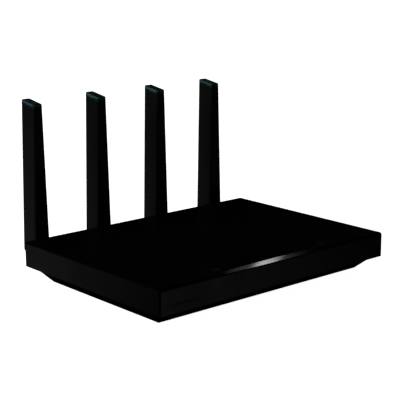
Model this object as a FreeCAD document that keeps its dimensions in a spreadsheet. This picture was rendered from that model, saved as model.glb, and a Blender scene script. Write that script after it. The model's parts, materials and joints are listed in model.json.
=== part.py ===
import FreeCAD
import Part
import Sketcher
import math
import os
import re

# A wireless router: a flat slab of a case on a tapered pan, with four blade antennas on
# swivel and tilt hinges behind the rear panel. X runs to the right, Y to the back, Z up.
# The origin is on the table, under the middle of the whole outline, antennas included.

document = FreeCAD.newDocument("router")
sheet = document.addObject("Spreadsheet::Sheet", "sizes")

driving_sizes = [
    # case
    ("body_width", 316.0, "case, left to right"),
    ("body_depth", 229.0, "case, front face to rear panel"),
    ("slab_height", 27.0, "upright part of the case"),
    ("pan_height", 15.3, "tapered part under the slab"),
    ("foot_proud", 2.5, "pan floor above the table"),
    ("case_wall", 2.5, "thickness of every case wall"),
    ("front_bevel", 3.0, "rounding of the top front edge"),
    ("corner_radius", 2.0, "rounding of the upright corners and the other top edges"),
    ("facet_depth", 7.0, "slanted facet along the top front edge, front to back at its middle"),
    ("facet_drop", 1.9, "facet at its middle, below the top"),
    ("facet_half_length", 150.0, "middle of the facet to where it thins out"),
    ("pan_lip_side", 5.5, "slab overhang at the pan's rim, left and right"),
    ("pan_lip_end", 6.5, "slab overhang at the pan's rim, front and rear"),
    ("pan_inset_side", 18.0, "pan floor inside the slab, left and right"),
    ("pan_inset_front", 24.0, "pan floor inside the slab, front"),
    ("pan_inset_rear", 26.8, "pan floor inside the slab, rear"),
    ("part_gap", 0.2, "clearance between parts that are laid together"),
    ("cut_over", 1.0, "how far a cutting shape runs past the face that it cuts"),
    # feet and case screws
    ("foot_radius", 8.0, "rubber foot"),
    ("foot_recess", 1.0, "foot set into the floor"),
    ("foot_in_side", 20.0, "foot centre inside the floor's edge, left and right"),
    ("foot_in_end", 20.0, "foot centre inside the floor's edge, front and rear"),
    ("case_post_radius", 4.5, "posts of the bottom case, round the case screws"),
    ("cover_post_radius", 3.5, "posts of the top cover, that the case screws hold"),
    ("case_screw_radius", 1.3, "case screw thread"),
    ("case_screw_head", 2.8, "case screw head radius"),
    ("screw_head_height", 1.8, "every screw head"),
    ("screw_grip", 10.0, "length of thread in a post"),
    ("screw_end", 1.0, "pilot hole beyond the end of the thread"),
    ("drive_length", 3.2, "slot in a case screw's head"),
    ("drive_width", 0.7, "slot in a case screw's head"),
    ("drive_deep", 0.8, "slot in a case screw's head"),
    # floor vents
    ("floor_slot_width", 2.6, "vent slots in the floor"),
    ("floor_slot_length", 32.0, "vent slots in the floor"),
    ("floor_slot_pitch", 6.5, "vent slots in the floor"),
    ("floor_row_pitch", 44.0, "one row of floor slots to the next"),
    # top grille
    ("grille_width", 216.0, "grille let into the top"),
    ("grille_depth", 118.0, "grille let into the top"),
    ("grille_behind", 62.0, "front face to the grille's front edge"),
    ("grille_plate", 1.4, "thickness of the grille"),
    ("grille_ledge", 4.0, "ledge that the grille lies on"),
    ("grille_slot_width", 2.2, "slots of the grille"),
    ("grille_slot_length", 50.0, "slots of the grille"),
    ("grille_slot_pitch", 6.0, "slots of the grille"),
    ("grille_bar", 4.0, "bar between the two rows of slots"),
    # indicators and top buttons
    ("indicator_behind", 14.0, "front face to the indicator row and the buttons"),
    ("lens_length", 120.0, "indicator window"),
    ("lens_width", 3.0, "indicator window"),
    ("guide_in", 1.0, "light guide shorter than the window at each end"),
    ("guide_gap", 0.8, "indicator board to the light guide"),
    ("indicator_board_drop", 7.3, "indicator board below the inside of the top"),
    ("indicator_board_length", 186.0, "indicator board"),
    ("indicator_board_depth", 22.0, "indicator board"),
    ("indicator_board_thickness", 1.2, "indicator board"),
    ("indicator_post_radius", 2.5, "posts that hold the indicator board"),
    ("indicator_post_in", 4.0, "indicator board's end to the middle of its post"),
    ("top_button_radius", 4.0, "pairing and radio buttons"),
    ("top_button_spread", 75.0, "top button to the middle of the case"),
    ("top_button_proud", 0.7, "top button above the case"),
    ("top_button_travel", 0.6, "top button"),
    ("button_flange", 1.0, "collar of every button beyond its cap"),
    ("button_stem_radius", 1.6, "stems of the top buttons"),
    ("button_gap", 0.15, "clearance round every button"),
    ("tact_size", 6.0, "tact switch, square"),
    ("tact_height", 3.4, "tact switch with its nub"),
    ("tact_can_height", 2.4, "tact switch without its nub"),
    # badge
    ("badge_length", 36.0, "plain bar let into the front face"),
    ("badge_height", 1.8, "plain bar let into the front face"),
    ("badge_deep", 0.6, "plain bar let into the front face"),
    ("badge_in", 13.0, "left side to the bar"),
    ("badge_down", 17.0, "top of the case to the bar"),
    # boards
    ("board_thickness", 1.6, "main board"),
    ("board_clearance", 0.7, "rim of the bottom case to the main board"),
    ("board_in_side", 8.0, "case side to the main board"),
    ("board_in_front", 12.0, "case front to the main board"),
    ("board_screw_radius", 1.2, "main board screws"),
    ("board_screw_head", 2.5, "main board screw heads"),
    ("board_post_radius", 3.2, "main board posts"),
    ("board_post_in_side", 60.0, "main board posts from the middle"),
    ("shield_height", 3.5, "shield cans"),
    ("shield_wall", 0.6, "shield cans"),
    ("processor_shield_size", 56.0, "shield can of the processor, square"),
    ("radio_shield_width", 38.0, "shield cans of the radios"),
    ("radio_shield_depth", 32.0, "shield cans of the radios"),
    ("radio_across", 78.0, "left and right radio, from the middle"),
    ("front_radio_across", 89.7, "front radio, from the middle"),
    ("front_radio_ahead", 42.0, "front radio, ahead of the other two"),
    ("sink_base", 2.5, "base of each heat sink"),
    ("fin_clearance", 4.2, "fins to the inside of the top"),
    ("fin_thickness", 1.2, "fins of each heat sink"),
    ("fin_pitch", 5.4, "fins of each heat sink"),
    # sockets
    ("port_height", 13.5, "network socket block, height"),
    ("port_depth", 21.0, "network socket block, depth"),
    ("port_pitch", 13.97, "one network socket to the next"),
    ("port_end_wall", 2.5, "wall of a network socket block beyond the outer sockets"),
    ("port_mouth_width", 11.8, "network socket mouth"),
    ("port_mouth_height", 8.4, "network socket mouth"),
    ("port_mouth_depth", 15.0, "network socket mouth"),
    ("port_latch_width", 6.0, "latch notch over the mouth"),
    ("port_latch_height", 1.6, "latch notch over the mouth"),
    ("local_pair_centre", 92.0, "pair of local network sockets"),
    ("wide_port_centre", 63.5, "wide area network socket"),
    ("usb_width", 13.2, "shell of a USB socket"),
    ("usb_height", 5.8, "shell of a USB socket"),
    ("usb_depth", 14.0, "shell of a USB socket"),
    ("usb_wall", 0.5, "shell of a USB socket"),
    ("usb_first", 62.0, "first USB socket, left of the middle"),
    ("usb_second", 80.0, "second USB socket, left of the middle"),
    ("usb_tongue_thickness", 1.7, "tongue of a USB socket"),
    ("usb_tongue_down", 2.6, "top of the mouth to the underside of the tongue"),
    ("usb_tongue_in", 0.9, "side of the mouth to the tongue"),
    ("usb_tongue_back", 1.6, "rear face to the end of the tongue"),
    ("power_centre", 110.0, "power inlet, left of the middle"),
    ("power_width", 10.0, "power inlet"),
    ("power_height", 12.0, "power inlet"),
    ("power_depth", 14.0, "power inlet"),
    ("power_bore", 3.2, "radius of the power inlet's mouth"),
    ("power_bore_depth", 10.0, "power inlet's mouth"),
    ("power_pin", 1.0, "radius of the power inlet's pin"),
    ("power_pin_back", 1.0, "rear face to the end of the pin"),
    # rear buttons
    ("rear_control_lift", 7.0, "rear controls above the main board"),
    ("switch_centre", 95.5, "power button, left of the middle"),
    ("switch_radius", 4.6, "power button"),
    ("switch_proud", 2.4, "power button out of the panel"),
    ("switch_travel", 2.0, "power button"),
    ("switch_size", 8.4, "power switch, square"),
    ("switch_depth", 13.0, "power switch"),
    ("switch_stem", 6.0, "power button's stem"),
    ("reset_in", 12.0, "right side to the reset button"),
    ("reset_radius", 1.0, "reset button"),
    ("reset_travel", 0.5, "reset button"),
    ("reset_deep", 1.6, "reset button inside its hole"),
    ("reset_switch_in", 6.0, "inside of the panel to the reset switch"),
    ("reset_switch_depth", 4.0, "reset switch"),
    ("slider_in", 12.0, "left side to the light switch"),
    ("slider_travel", 2.4, "light switch"),
    ("slider_nib_width", 2.4, "light switch knob"),
    ("slider_nib_height", 2.6, "light switch knob"),
    ("slider_proud", 1.2, "light switch knob out of the panel"),
    ("slider_plate_thickness", 1.0, "plate behind the light switch knob"),
    ("slider_plate_side", 1.5, "plate beyond the knob, left and right"),
    ("slider_plate_end", 1.0, "plate beyond the knob, above and below"),
    ("light_switch_side", 2.0, "light switch beyond the knob's travel"),
    ("light_switch_depth", 6.0, "light switch"),
    # antennas
    ("antenna_pitch", 84.6, "one antenna to the next"),
    ("antenna_gap", 11.4, "rear panel to the antennas"),
    ("antenna_depth", 25.4, "antenna, front to back"),
    ("antenna_root_width", 19.6, "antenna at its lower end"),
    ("antenna_tip_width", 11.0, "antenna at its tip"),
    ("antenna_rise", 147.6, "antenna tip above the case"),
    ("antenna_edge", 2.4, "rounding of the antenna's long edges"),
    ("antenna_foot_edge", 7.0, "rounding of the antenna's lower end"),
    ("antenna_below", 12.0, "antenna below its hinge"),
    ("tip_drop", 4.0, "tip lower at the front than at the back"),
    ("tip_cap", 5.0, "height of the clear cap on the tip"),
    ("tip_edge", 1.6, "rounding of the cap's top edges"),
    ("tip_root", 7.0, "light pipe of the cap inside the antenna"),
    ("pipe_half_depth", 5.0, "light pipe of the cap, front to back"),
    ("pipe_half_width", 1.5, "light pipe of the cap, left to right"),
    ("pipe_into_cap", 1.2, "light pipe inside the cap"),
    ("fork_slot", 8.4, "slot between the antenna's cheeks"),
    ("fork_above", 7.6, "slot above the hinge"),
    ("hollow_half", 2.6, "hollow in each antenna half"),
    ("hollow_margin", 3.2, "antenna wall, front and back of the hollow"),
    ("radiator_thickness", 1.0, "board in each antenna"),
    # hinges
    ("hinge_pin_radius", 2.0, "hinge pin"),
    ("pin_recess", 0.7, "hinge pin inside the cheek's face"),
    ("running_gap", 0.05, "radial clearance of a turning fit"),
    ("tongue_width", 8.0, "knuckle between the cheeks"),
    ("tongue_radius", 6.8, "round end of the knuckle"),
    ("knuckle_flange", 3.0, "knuckle's flange against the panel, thickness"),
    ("knuckle_flange_lip", 5.0, "knuckle's flange beyond the spindle"),
    ("spindle_radius", 5.0, "knuckle's spindle through the panel"),
    ("spindle_bore", 2.2, "lead hole through the spindle"),
    ("sleeve_wall", 3.0, "sleeve of the panel round the spindle"),
    ("sleeve_length", 6.0, "sleeve of the panel inside the case"),
    ("clip_thickness", 1.2, "clip behind the sleeve"),
    ("clip_lip", 2.2, "clip beyond the spindle"),
    ("clip_groove", 0.9, "depth of the clip's groove"),
    ("clip_opening", 6.0, "opening in the clip's ring"),
    ("spindle_end", 1.6, "spindle beyond the clip"),
    ("lead_radius", 0.9, "antenna lead"),
    ("lead_bend", 6.0, "bend of the antenna lead"),
    ("lead_end_in", 6.0, "antenna's front face to the end of its lead"),
    ("lead_straight", 4.0, "lead beyond the spindle before its bend"),
    ("plug_radius", 2.0, "plug of the antenna lead"),
    ("plug_height", 1.8, "plug of the antenna lead"),
]

grille_slots = 33
floor_slots = 23
processor_fins = 13
radio_fins = 7

for row, (alias, size, note) in enumerate(driving_sizes, start=1):
    sheet.set(f"A{row}", alias)
    sheet.set(f"B{row}", str(size))
    sheet.setAlias(f"B{row}", alias)
    sheet.set(f"C{row}", note)
document.recompute()


# Lengths are written in words, as sums of the sheet's names.

def bound(length):
    """The length as an expression, with each name pointing at its cell."""
    return re.sub(r"[a-z]+(?:_[a-z]+)+", r"sizes.\g<0>", str(length))


def number(length):
    """The length's value in millimetres."""
    return float(sheet.evalExpression(bound(length)))


def bind(thing, lengths):
    for name, length in lengths.items():
        thing.setExpression(name, bound(length))


left_x = "(0 - body_width/2)"
right_x = "(body_width/2)"
front_y = "(0 - (body_depth + antenna_gap + antenna_depth)/2)"
rear_y = f"({front_y} + body_depth)"
panel_inner_y = f"({rear_y} - case_wall)"
blade_front_y = f"({rear_y} + antenna_gap)"
blade_rear_y = f"({blade_front_y} + antenna_depth)"
hinge_y = f"({blade_front_y} + antenna_depth/2)"
clip_y = f"({panel_inner_y} - sleeve_length - part_gap - clip_thickness)"
spindle_inner_y = f"({clip_y} - spindle_end)"
floor_z = "(foot_proud)"
slab_z = f"({floor_z} + pan_height)"
top_z = f"({slab_z} + slab_height)"
top_inner_z = f"({top_z} - case_wall)"
hinge_z = f"({slab_z} + slab_height/2)"
blade_foot_z = f"({hinge_z} - antenna_below)"
tip_z = f"({top_z} + antenna_rise)"
board_z = f"({slab_z} + case_wall + board_clearance)"
board_lift = f"({board_z} - {floor_z})"
board_top_z = f"({board_z} + board_thickness)"
control_z = f"({board_top_z} + rear_control_lift)"
indicator_y = f"({front_y} + indicator_behind)"
indicator_board_z = f"({top_inner_z} - indicator_board_drop)"
reset_x = f"({right_x} - reset_in)"
slider_x = f"({left_x} + slider_in)"
floor_left_x = f"({left_x} + pan_inset_side)"
floor_front_y = f"({front_y} + pan_inset_front)"
floor_rear_y = f"({rear_y} - pan_inset_rear)"
foot_x = f"({right_x} - pan_inset_side - foot_in_side)"
foot_rows = [f"({floor_front_y} + foot_in_end)", f"({floor_rear_y} - foot_in_end)"]
foot_places = [(f"{side}*{foot_x}", row) for side in (-1, 1) for row in foot_rows]
board_post_places = [(f"{side}*board_post_in_side", row) for side in (-1, 1) for row in foot_rows]

finished = []


def finish(thing, name):
    """Mark an object of the document as a finished sub-part with its own name."""
    thing.Label = name
    finished.append(thing)
    return thing


# Part primitives and booleans

def block(name, low, high):
    """A box between two corners."""
    box = document.addObject("Part::Box", name)
    for size, axis, start, end in zip(("Length", "Width", "Height"), "xyz", low, high):
        bind(box, {size: f"{end} - {start}", f"Placement.Base.{axis}": start})
    return box


def rod(name, start, radius, length, along):
    """A cylinder from the point start, along +X, +Y or +Z."""
    turns = {
        "x": (FreeCAD.Vector(0, 1, 0), 90),
        "y": (FreeCAD.Vector(1, 0, 0), -90),
        "z": (FreeCAD.Vector(0, 0, 1), 0),
    }
    cylinder = document.addObject("Part::Cylinder", name)
    cylinder.Placement = FreeCAD.Placement(FreeCAD.Vector(), FreeCAD.Rotation(*turns[along]))
    bind(cylinder, {"Radius": radius, "Height": length})
    for axis, place in zip("xyz", start):
        bind(cylinder, {f"Placement.Base.{axis}": place})
    return cylinder


def fused(name, shapes):
    union = document.addObject("Part::MultiFuse", name)
    union.Shapes = shapes
    return union


def without(name, base, tools):
    tool = tools[0] if len(tools) == 1 else fused(f"{name}_tools", tools)
    rest = document.addObject("Part::Cut", name)
    rest.Base = base
    rest.Tool = tool
    return rest


def group(name, shapes):
    """Separate solids that share one name."""
    together = document.addObject("Part::Compound", name)
    together.Links = shapes
    return together


# Part design

def new_body(name):
    return document.addObject("PartDesign::Body", name)


def sketch_on(body, role, height):
    """A sketch on one of the body's own planes, height above it along the plane's normal."""
    sketch = body.newObject("Sketcher::SketchObject", f"{body.Name}_sketch")
    plane = next(feature for feature in body.Origin.OriginFeatures if feature.Role == role)
    sketch.AttachmentSupport = (plane, [""])
    sketch.MapMode = "FlatFace"
    bind(sketch, {"AttachmentOffset.Base.z": height})
    return sketch


def place_point(sketch, geometry, point, across, up):
    for kind, length in (("DistanceX", across), ("DistanceY", up)):
        place = sketch.addConstraint(Sketcher.Constraint(kind, -1, 1, geometry, point, number(length)))
        bind(sketch, {f"Constraints[{place}]": length})


def outline(sketch, points):
    """A closed outline of straight lines."""
    corners = [FreeCAD.Vector(number(across), number(up), 0) for across, up in points]
    first = sketch.GeometryCount
    for start, end in zip(corners, corners[1:] + corners[:1]):
        sketch.addGeometry(Part.LineSegment(start, end), False)
    for index, (across, up) in enumerate(points):
        following = first + (index + 1) % len(points)
        sketch.addConstraint(Sketcher.Constraint("Coincident", first + index, 2, following, 1))
        place_point(sketch, first + index, 1, across, up)


def rectangle(sketch, left, low, right, high):
    outline(sketch, [(left, low), (right, low), (right, high), (left, high)])


def circle(sketch, across, up, radius):
    centre = FreeCAD.Vector(number(across), number(up), 0)
    ring = sketch.addGeometry(Part.Circle(centre, FreeCAD.Vector(0, 0, 1), number(radius)), False)
    place_point(sketch, ring, 3, across, up)
    size = sketch.addConstraint(Sketcher.Constraint("Radius", ring, number(radius)))
    bind(sketch, {f"Constraints[{size}]": radius})


def pad(body, sketch, length, reverse=False):
    """Add the sketch's outline, along the plane's normal unless reversed."""
    feature = body.newObject("PartDesign::Pad", f"{body.Name}_pad")
    feature.Profile = sketch
    feature.Reversed = reverse
    bind(feature, {"Length": length})
    return feature


def pocket(body, sketch, length, along_normal=True):
    """Cut the sketch's outline, along the plane's normal unless told otherwise."""
    before = volume_of(body)
    feature = body.newObject("PartDesign::Pocket", f"{body.Name}_pocket")
    feature.Profile = sketch
    feature.Reversed = along_normal
    bind(feature, {"Length": length})
    if volume_of(body) >= before:
        raise RuntimeError(f"{body.Name}: {feature.Name} cuts nothing")
    return feature


def volume_of(body):
    document.recompute()
    return body.Shape.Volume


def fillet(body, radius, chosen):
    """Round the edges of the body's tip for which chosen(edge) is true."""
    document.recompute()
    base = body.Tip
    edges = [f"Edge{place}" for place, edge in enumerate(base.Shape.Edges, start=1) if chosen(edge)]
    feature = body.newObject("PartDesign::Fillet", f"{body.Name}_fillet")
    feature.Base = (base, edges)
    bind(feature, {"Radius": radius})
    document.recompute()
    return feature


def slot_row(body, low, depth, count, slot, centre):
    """A row of upright-walled slots through a flat wall, centred left to right."""
    first_x = f"(0 - {(count - 1) / 2}*{slot}_pitch)"
    opening = sketch_on(body, "XY_Plane", low)
    rectangle(opening, f"{first_x} - {slot}_width/2", f"{centre} - {slot}_length/2",
              f"{first_x} + {slot}_width/2", f"{centre} + {slot}_length/2")
    cut = pocket(body, opening, depth)
    pattern = body.newObject("PartDesign::LinearPattern", f"{slot}_row")
    pattern.Originals = [cut]
    pattern.Direction = (opening, ["H_Axis"])
    pattern.Occurrences = count
    bind(pattern, {"Length": f"{count - 1}*{slot}_pitch"})
    body.Tip = pattern
    document.recompute()


tolerance = 1e-4


def near(first, second):
    return abs(first - second) < tolerance


def runs_along(edge, axis):
    """True when the edge is as long as its box along this axis and flat across the others."""
    box = edge.BoundBox
    spans = {"x": box.XLength, "y": box.YLength, "z": box.ZLength}
    return spans[axis] > tolerance and all(near(spans[other], 0) for other in spans if other != axis)


# Case

def make_top_cover():
    body = new_body("top_cover_block")
    plan = sketch_on(body, "XY_Plane", slab_z)
    rectangle(plan, left_x, front_y, right_x, rear_y)
    pad(body, plan, "slab_height")
    top = number(top_z)
    front = number(front_y)
    rear = number(rear_y)
    fillet(body, "front_bevel", lambda edge: near(edge.BoundBox.ZMin, top) and near(edge.BoundBox.YMax, front)
           and runs_along(edge, "x"))
    fillet(body, "corner_radius", lambda edge: runs_along(edge, "z")
           or (near(edge.BoundBox.ZMin, top) and near(edge.BoundBox.YMin, rear)))
    hollow = sketch_on(body, "XY_Plane", slab_z)
    rectangle(hollow, f"{left_x} + case_wall", f"{front_y} + case_wall",
              f"{right_x} - case_wall", f"{rear_y} + case_wall")
    pocket(body, hollow, "slab_height - case_wall")

    recess = sketch_on(body, "XY_Plane", f"{top_z} - grille_plate")
    grille_front = f"({front_y} + grille_behind)"
    rectangle(recess, "0 - grille_width/2 - part_gap", f"{grille_front} - part_gap",
              "grille_width/2 + part_gap", f"{grille_front} + grille_depth + part_gap")
    pocket(body, recess, "grille_plate + cut_over")
    window = sketch_on(body, "XY_Plane", f"{top_inner_z} - cut_over")
    rectangle(window, "0 - grille_width/2 + grille_ledge", f"{grille_front} + grille_ledge",
              "grille_width/2 - grille_ledge", f"{grille_front} + grille_depth - grille_ledge")
    rectangle(window, "0 - lens_length/2 - part_gap", f"{indicator_y} - lens_width/2 - part_gap",
              "lens_length/2 + part_gap", f"{indicator_y} + lens_width/2 + part_gap")
    for side in (-1, 1):
        circle(window, f"{side}*top_button_spread", indicator_y, "top_button_radius + button_gap")
    pocket(body, window, "case_wall + 2*cut_over")

    badge = sketch_on(body, "XZ_Plane", f"0 - {front_y} + cut_over")
    badge_high = f"({top_z} - badge_down)"
    rectangle(badge, f"{left_x} + badge_in", f"{badge_high} - badge_height",
              f"{left_x} + badge_in + badge_length", badge_high)
    pocket(body, badge, "badge_deep + cut_over", along_normal=False)

    posts = sketch_on(body, "XY_Plane", top_inner_z)
    for across, along in foot_places:
        circle(posts, across, along, "cover_post_radius")
    pad(body, posts, f"{top_inner_z} - {board_z} + part_gap", reverse=True)
    hangers = sketch_on(body, "XY_Plane", top_inner_z)
    for side in (-1, 1):
        circle(hangers, f"{side}*(indicator_board_length/2 - indicator_post_in)", indicator_y,
               "indicator_post_radius")
    pad(body, hangers, "indicator_board_drop", reverse=True)
    pilots = sketch_on(body, "XY_Plane", f"{board_z} - part_gap")
    for across, along in foot_places:
        circle(pilots, across, along, "case_screw_radius")
    pocket(body, pilots, "screw_grip + screw_end")
    finish(without("top_cover_faceted", body, [facet_tool()]), "top_cover")


def facet_tool():
    """A very large cylinder above the front edge: its lowest line is the middle of the facet."""
    slant = "(facet_drop*facet_drop + facet_depth*facet_depth)^0.5"
    radius = f"(facet_half_length*facet_half_length*{slant}/(2*facet_drop*facet_depth))"
    start_y = f"({front_y} - ({radius}*facet_drop + 2*facet_depth*facet_depth)/{slant})"
    start_z = f"({top_z} - facet_drop + ({radius}*facet_depth - 2*facet_depth*facet_drop)/{slant})"
    facet = rod("facet", ("0", start_y, start_z), radius, "4*facet_depth", "z")
    facet.Placement = FreeCAD.Placement(FreeCAD.Vector(), FreeCAD.Rotation(FreeCAD.Vector(-1, 0, 0), 90))
    bind(facet, {"Placement.Rotation.Angle": "90 deg - atan(facet_drop/facet_depth)"})
    return facet


def make_vent_grille():
    body = new_body("vent_grille")
    grille_front = f"({front_y} + grille_behind)"
    plan = sketch_on(body, "XY_Plane", f"{top_z} - grille_plate")
    rectangle(plan, "0 - grille_width/2", grille_front, "grille_width/2", f"{grille_front} + grille_depth")
    pad(body, plan, "grille_plate")
    for row in (-0.5, 0.5):
        centre = f"({grille_front} + grille_depth/2 + {row}*(grille_slot_length + grille_bar))"
        slot_row(body, f"{top_z} - grille_plate", "grille_plate", grille_slots, "grille_slot", centre)
    finish(body, "vent_grille")


def make_bottom_case():
    body = new_body("bottom_case")

    def loft(kind, name, inset):
        """A tapered block between the floor and the rim, inset from the outer faces."""
        low = sketch_on(body, "XY_Plane", f"{floor_z} + {inset}")
        rectangle(low, f"{floor_left_x} + {inset}", f"{floor_front_y} + {inset}",
                  f"0 - {floor_left_x} - {inset}", f"{floor_rear_y} - {inset}")
        high = sketch_on(body, "XY_Plane", slab_z)
        rectangle(high, f"{left_x} + pan_lip_side + {inset}", f"{front_y} + pan_lip_end + {inset}",
                  f"{right_x} - pan_lip_side - {inset}", f"{rear_y} - pan_lip_end - {inset}")
        feature = body.newObject(kind, name)
        feature.Profile = low
        feature.Sections = [high]
        document.recompute()

    loft("PartDesign::AdditiveLoft", "pan_outside", "0")
    rim = sketch_on(body, "XY_Plane", slab_z)
    rim_in = "(case_wall + part_gap)"
    rectangle(rim, f"{left_x} + {rim_in}", f"{front_y} + {rim_in}",
              f"{right_x} - {rim_in}", f"{rear_y} - {rim_in}")
    pad(body, rim, "case_wall")
    loft("PartDesign::SubtractiveLoft", "pan_inside", "case_wall")
    opening = sketch_on(body, "XY_Plane", slab_z)
    rectangle(opening, f"{left_x} + pan_lip_side + case_wall", f"{front_y} + pan_lip_end + case_wall",
              f"{right_x} - pan_lip_side - case_wall", f"{rear_y} - pan_lip_end - case_wall")
    pocket(body, opening, "case_wall")

    posts = sketch_on(body, "XY_Plane", floor_z)
    for across, along in foot_places:
        circle(posts, across, along, "case_post_radius")
    pad(body, posts, f"{board_lift} - 2*part_gap")
    board_posts = sketch_on(body, "XY_Plane", f"{floor_z} + case_wall/2")
    for across, along in board_post_places:
        circle(board_posts, across, along, "board_post_radius")
    pad(body, board_posts, f"{board_lift} - case_wall/2")
    pilots = sketch_on(body, "XY_Plane", board_z)
    for across, along in board_post_places:
        circle(pilots, across, along, "board_screw_radius")
    pocket(body, pilots, "screw_grip", along_normal=False)
    screw_ways = sketch_on(body, "XY_Plane", floor_z)
    for across, along in foot_places:
        circle(screw_ways, across, along, "case_screw_radius + part_gap")
    pocket(body, screw_ways, board_lift)
    head_ways = sketch_on(body, "XY_Plane", floor_z)
    for across, along in foot_places:
        circle(head_ways, across, along, "case_screw_head + part_gap")
    pocket(body, head_ways, f"{board_lift}/2")
    foot_seats = sketch_on(body, "XY_Plane", floor_z)
    for across, along in foot_places:
        circle(foot_seats, across, along, "foot_radius")
    pocket(body, foot_seats, "foot_recess")

    middle = f"(({floor_front_y} + {floor_rear_y})/2)"
    for row in (-1, 0, 1):
        centre = f"({middle} + {row}*floor_row_pitch)"
        slot_row(body, floor_z, "case_wall", floor_slots, "floor_slot", centre)
    finish(body, "bottom_case")


def make_rear_panel():
    body = new_body("rear_panel")
    face = sketch_on(body, "XZ_Plane", f"0 - {rear_y}")
    panel_in = "(case_wall + part_gap)"
    rectangle(face, f"{left_x} + {panel_in}", slab_z, f"{right_x} - {panel_in}", f"{top_inner_z} - part_gap")
    pad(body, face, "case_wall")
    sleeves = sketch_on(body, "XZ_Plane", f"0 - {panel_inner_y}")
    for across in antenna_places:
        circle(sleeves, across, hinge_z, "spindle_radius + sleeve_wall")
    pad(body, sleeves, "sleeve_length")
    holes = sketch_on(body, "XZ_Plane", f"0 - {rear_y}")
    for across in antenna_places:
        circle(holes, across, hinge_z, "spindle_radius + running_gap")
    pocket(body, holes, "case_wall + sleeve_length")

    ports = sketch_on(body, "XZ_Plane", f"0 - {rear_y}")
    for centre, count in port_blocks.values():
        half = f"({block_width(count)}/2 + part_gap)"
        rectangle(ports, f"{centre} - {half}", f"{board_top_z} - part_gap", f"{centre} + {half}",
                  f"{board_top_z} + port_height + part_gap")
    for centre in usb_places:
        half = "(usb_width/2 + part_gap)"
        rectangle(ports, f"{centre} - {half}", f"{board_top_z} - part_gap",
                  f"{centre} + {half}", f"{board_top_z} + usb_height + part_gap")
    half = "(power_width/2 + part_gap)"
    rectangle(ports, f"0 - power_centre - {half}", f"{board_top_z} - part_gap",
              f"0 - power_centre + {half}", f"{board_top_z} + power_height + part_gap")
    circle(ports, "0 - switch_centre", control_z, "switch_radius + button_gap")
    circle(ports, reset_x, control_z, "reset_radius + button_gap")
    reach = "(slider_nib_width/2 + button_gap)"
    half = "(slider_nib_height/2 + button_gap)"
    rectangle(ports, f"{slider_x} - {reach}", f"{control_z} - {half}",
              f"{slider_x} + {reach} + slider_travel", f"{control_z} + {half}")
    pocket(body, ports, "case_wall")
    finish(body, "rear_panel")


def make_small_case_parts():
    badge_high = f"({top_z} - badge_down)"
    badge = block("badge", (f"({left_x} + badge_in)", front_y, f"({badge_high} - badge_height)"),
                  (f"({left_x} + badge_in + badge_length)", f"({front_y} + badge_deep)", badge_high))
    finish(badge, "badge_bar")
    feet = [rod("foot", (across, along, "0"), "foot_radius", "foot_proud + foot_recess", "z")
            for across, along in foot_places]
    finish(group("feet", feet), "feet")
    screws = []
    head_z = f"({floor_z} + {board_lift}/2 - screw_head_height)"
    for across, along in foot_places:
        head = rod("case_screw_head", (across, along, head_z), "case_screw_head", "screw_head_height", "z")
        shank = rod("case_screw_shank", (across, along, f"{head_z} + screw_head_height/2"),
                    "case_screw_radius",
                    f"{board_lift}/2 + screw_grip + screw_head_height/2 - part_gap", "z")
        drive = block("case_screw_drive",
                      (f"({across} - drive_length/2)", f"({along} - drive_width/2)", head_z),
                      (f"({across} + drive_length/2)", f"({along} + drive_width/2)",
                       f"({head_z} + drive_deep)"))
        screws.append(without("case_screw", fused("case_screw_solid", [head, shank]), [drive]))
    finish(group("case_screws", screws), "case_screws")


# Indicators and the top buttons

def make_indicator_parts():
    lens = block("lens", ("(0 - lens_length/2)", f"({indicator_y} - lens_width/2)", top_inner_z),
                 ("(lens_length/2)", f"({indicator_y} + lens_width/2)", top_z))
    finish(lens, "indicator_lens")
    guide = block("guide", ("(0 - lens_length/2 + guide_in)", f"({indicator_y} - lens_width/2)",
                            f"({indicator_board_z} + guide_gap)"),
                  ("(lens_length/2 - guide_in)", f"({indicator_y} + lens_width/2)", top_inner_z))
    finish(guide, "light_guide")
    board = block("small_board",
                  ("(0 - indicator_board_length/2)", f"({indicator_y} - indicator_board_depth/2)",
                   f"({indicator_board_z} - indicator_board_thickness)"),
                  ("(indicator_board_length/2)", f"({indicator_y} + indicator_board_depth/2)",
                   indicator_board_z))
    finish(board, "indicator_board")
    for side, name in ((-1, "radio_button"), (1, "pairing_button")):
        across = f"({side}*top_button_spread)"
        collar_z = f"({top_inner_z} - button_flange - part_gap)"
        cap = rod(f"{name}_cap", (across, indicator_y, collar_z), "top_button_radius",
                  f"{top_z} + top_button_proud - {collar_z}", "z")
        collar = rod(f"{name}_collar", (across, indicator_y, collar_z), "top_button_radius + button_flange",
                     "button_flange", "z")
        stem_z = f"({indicator_board_z} + tact_height + top_button_travel + button_gap)"
        stem = rod(f"{name}_stem", (across, indicator_y, stem_z), "button_stem_radius",
                   f"{collar_z} - {stem_z}", "z")
        finish(fused(name, [cap, collar, stem]), name)


def make_tact_switches():
    """Three tact switches: under the two top buttons, and behind the reset button."""
    switches = []
    for side in (-1, 1):
        across = f"({side}*top_button_spread)"
        can = block("tact_can",
                    (f"({across} - tact_size/2)", f"({indicator_y} - tact_size/2)", indicator_board_z),
                    (f"({across} + tact_size/2)", f"({indicator_y} + tact_size/2)",
                     f"({indicator_board_z} + tact_can_height)"))
        nub = rod("tact_nub", (across, indicator_y, f"({indicator_board_z} + tact_can_height/2)"),
                  "button_stem_radius", "tact_height - tact_can_height/2", "z")
        switches.append(fused("tact_switch", [can, nub]))
    reset_can = block("reset_can", (f"({reset_x} - tact_size/2)", f"({reset_back_y} - reset_switch_depth)",
                                    board_top_z),
                      (f"({reset_x} + tact_size/2)", reset_back_y, f"({control_z} + tact_size/2)"))
    switches.append(reset_can)
    finish(group("tact_switches", switches), "tact_switches")


# Boards and what stands on them

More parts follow.
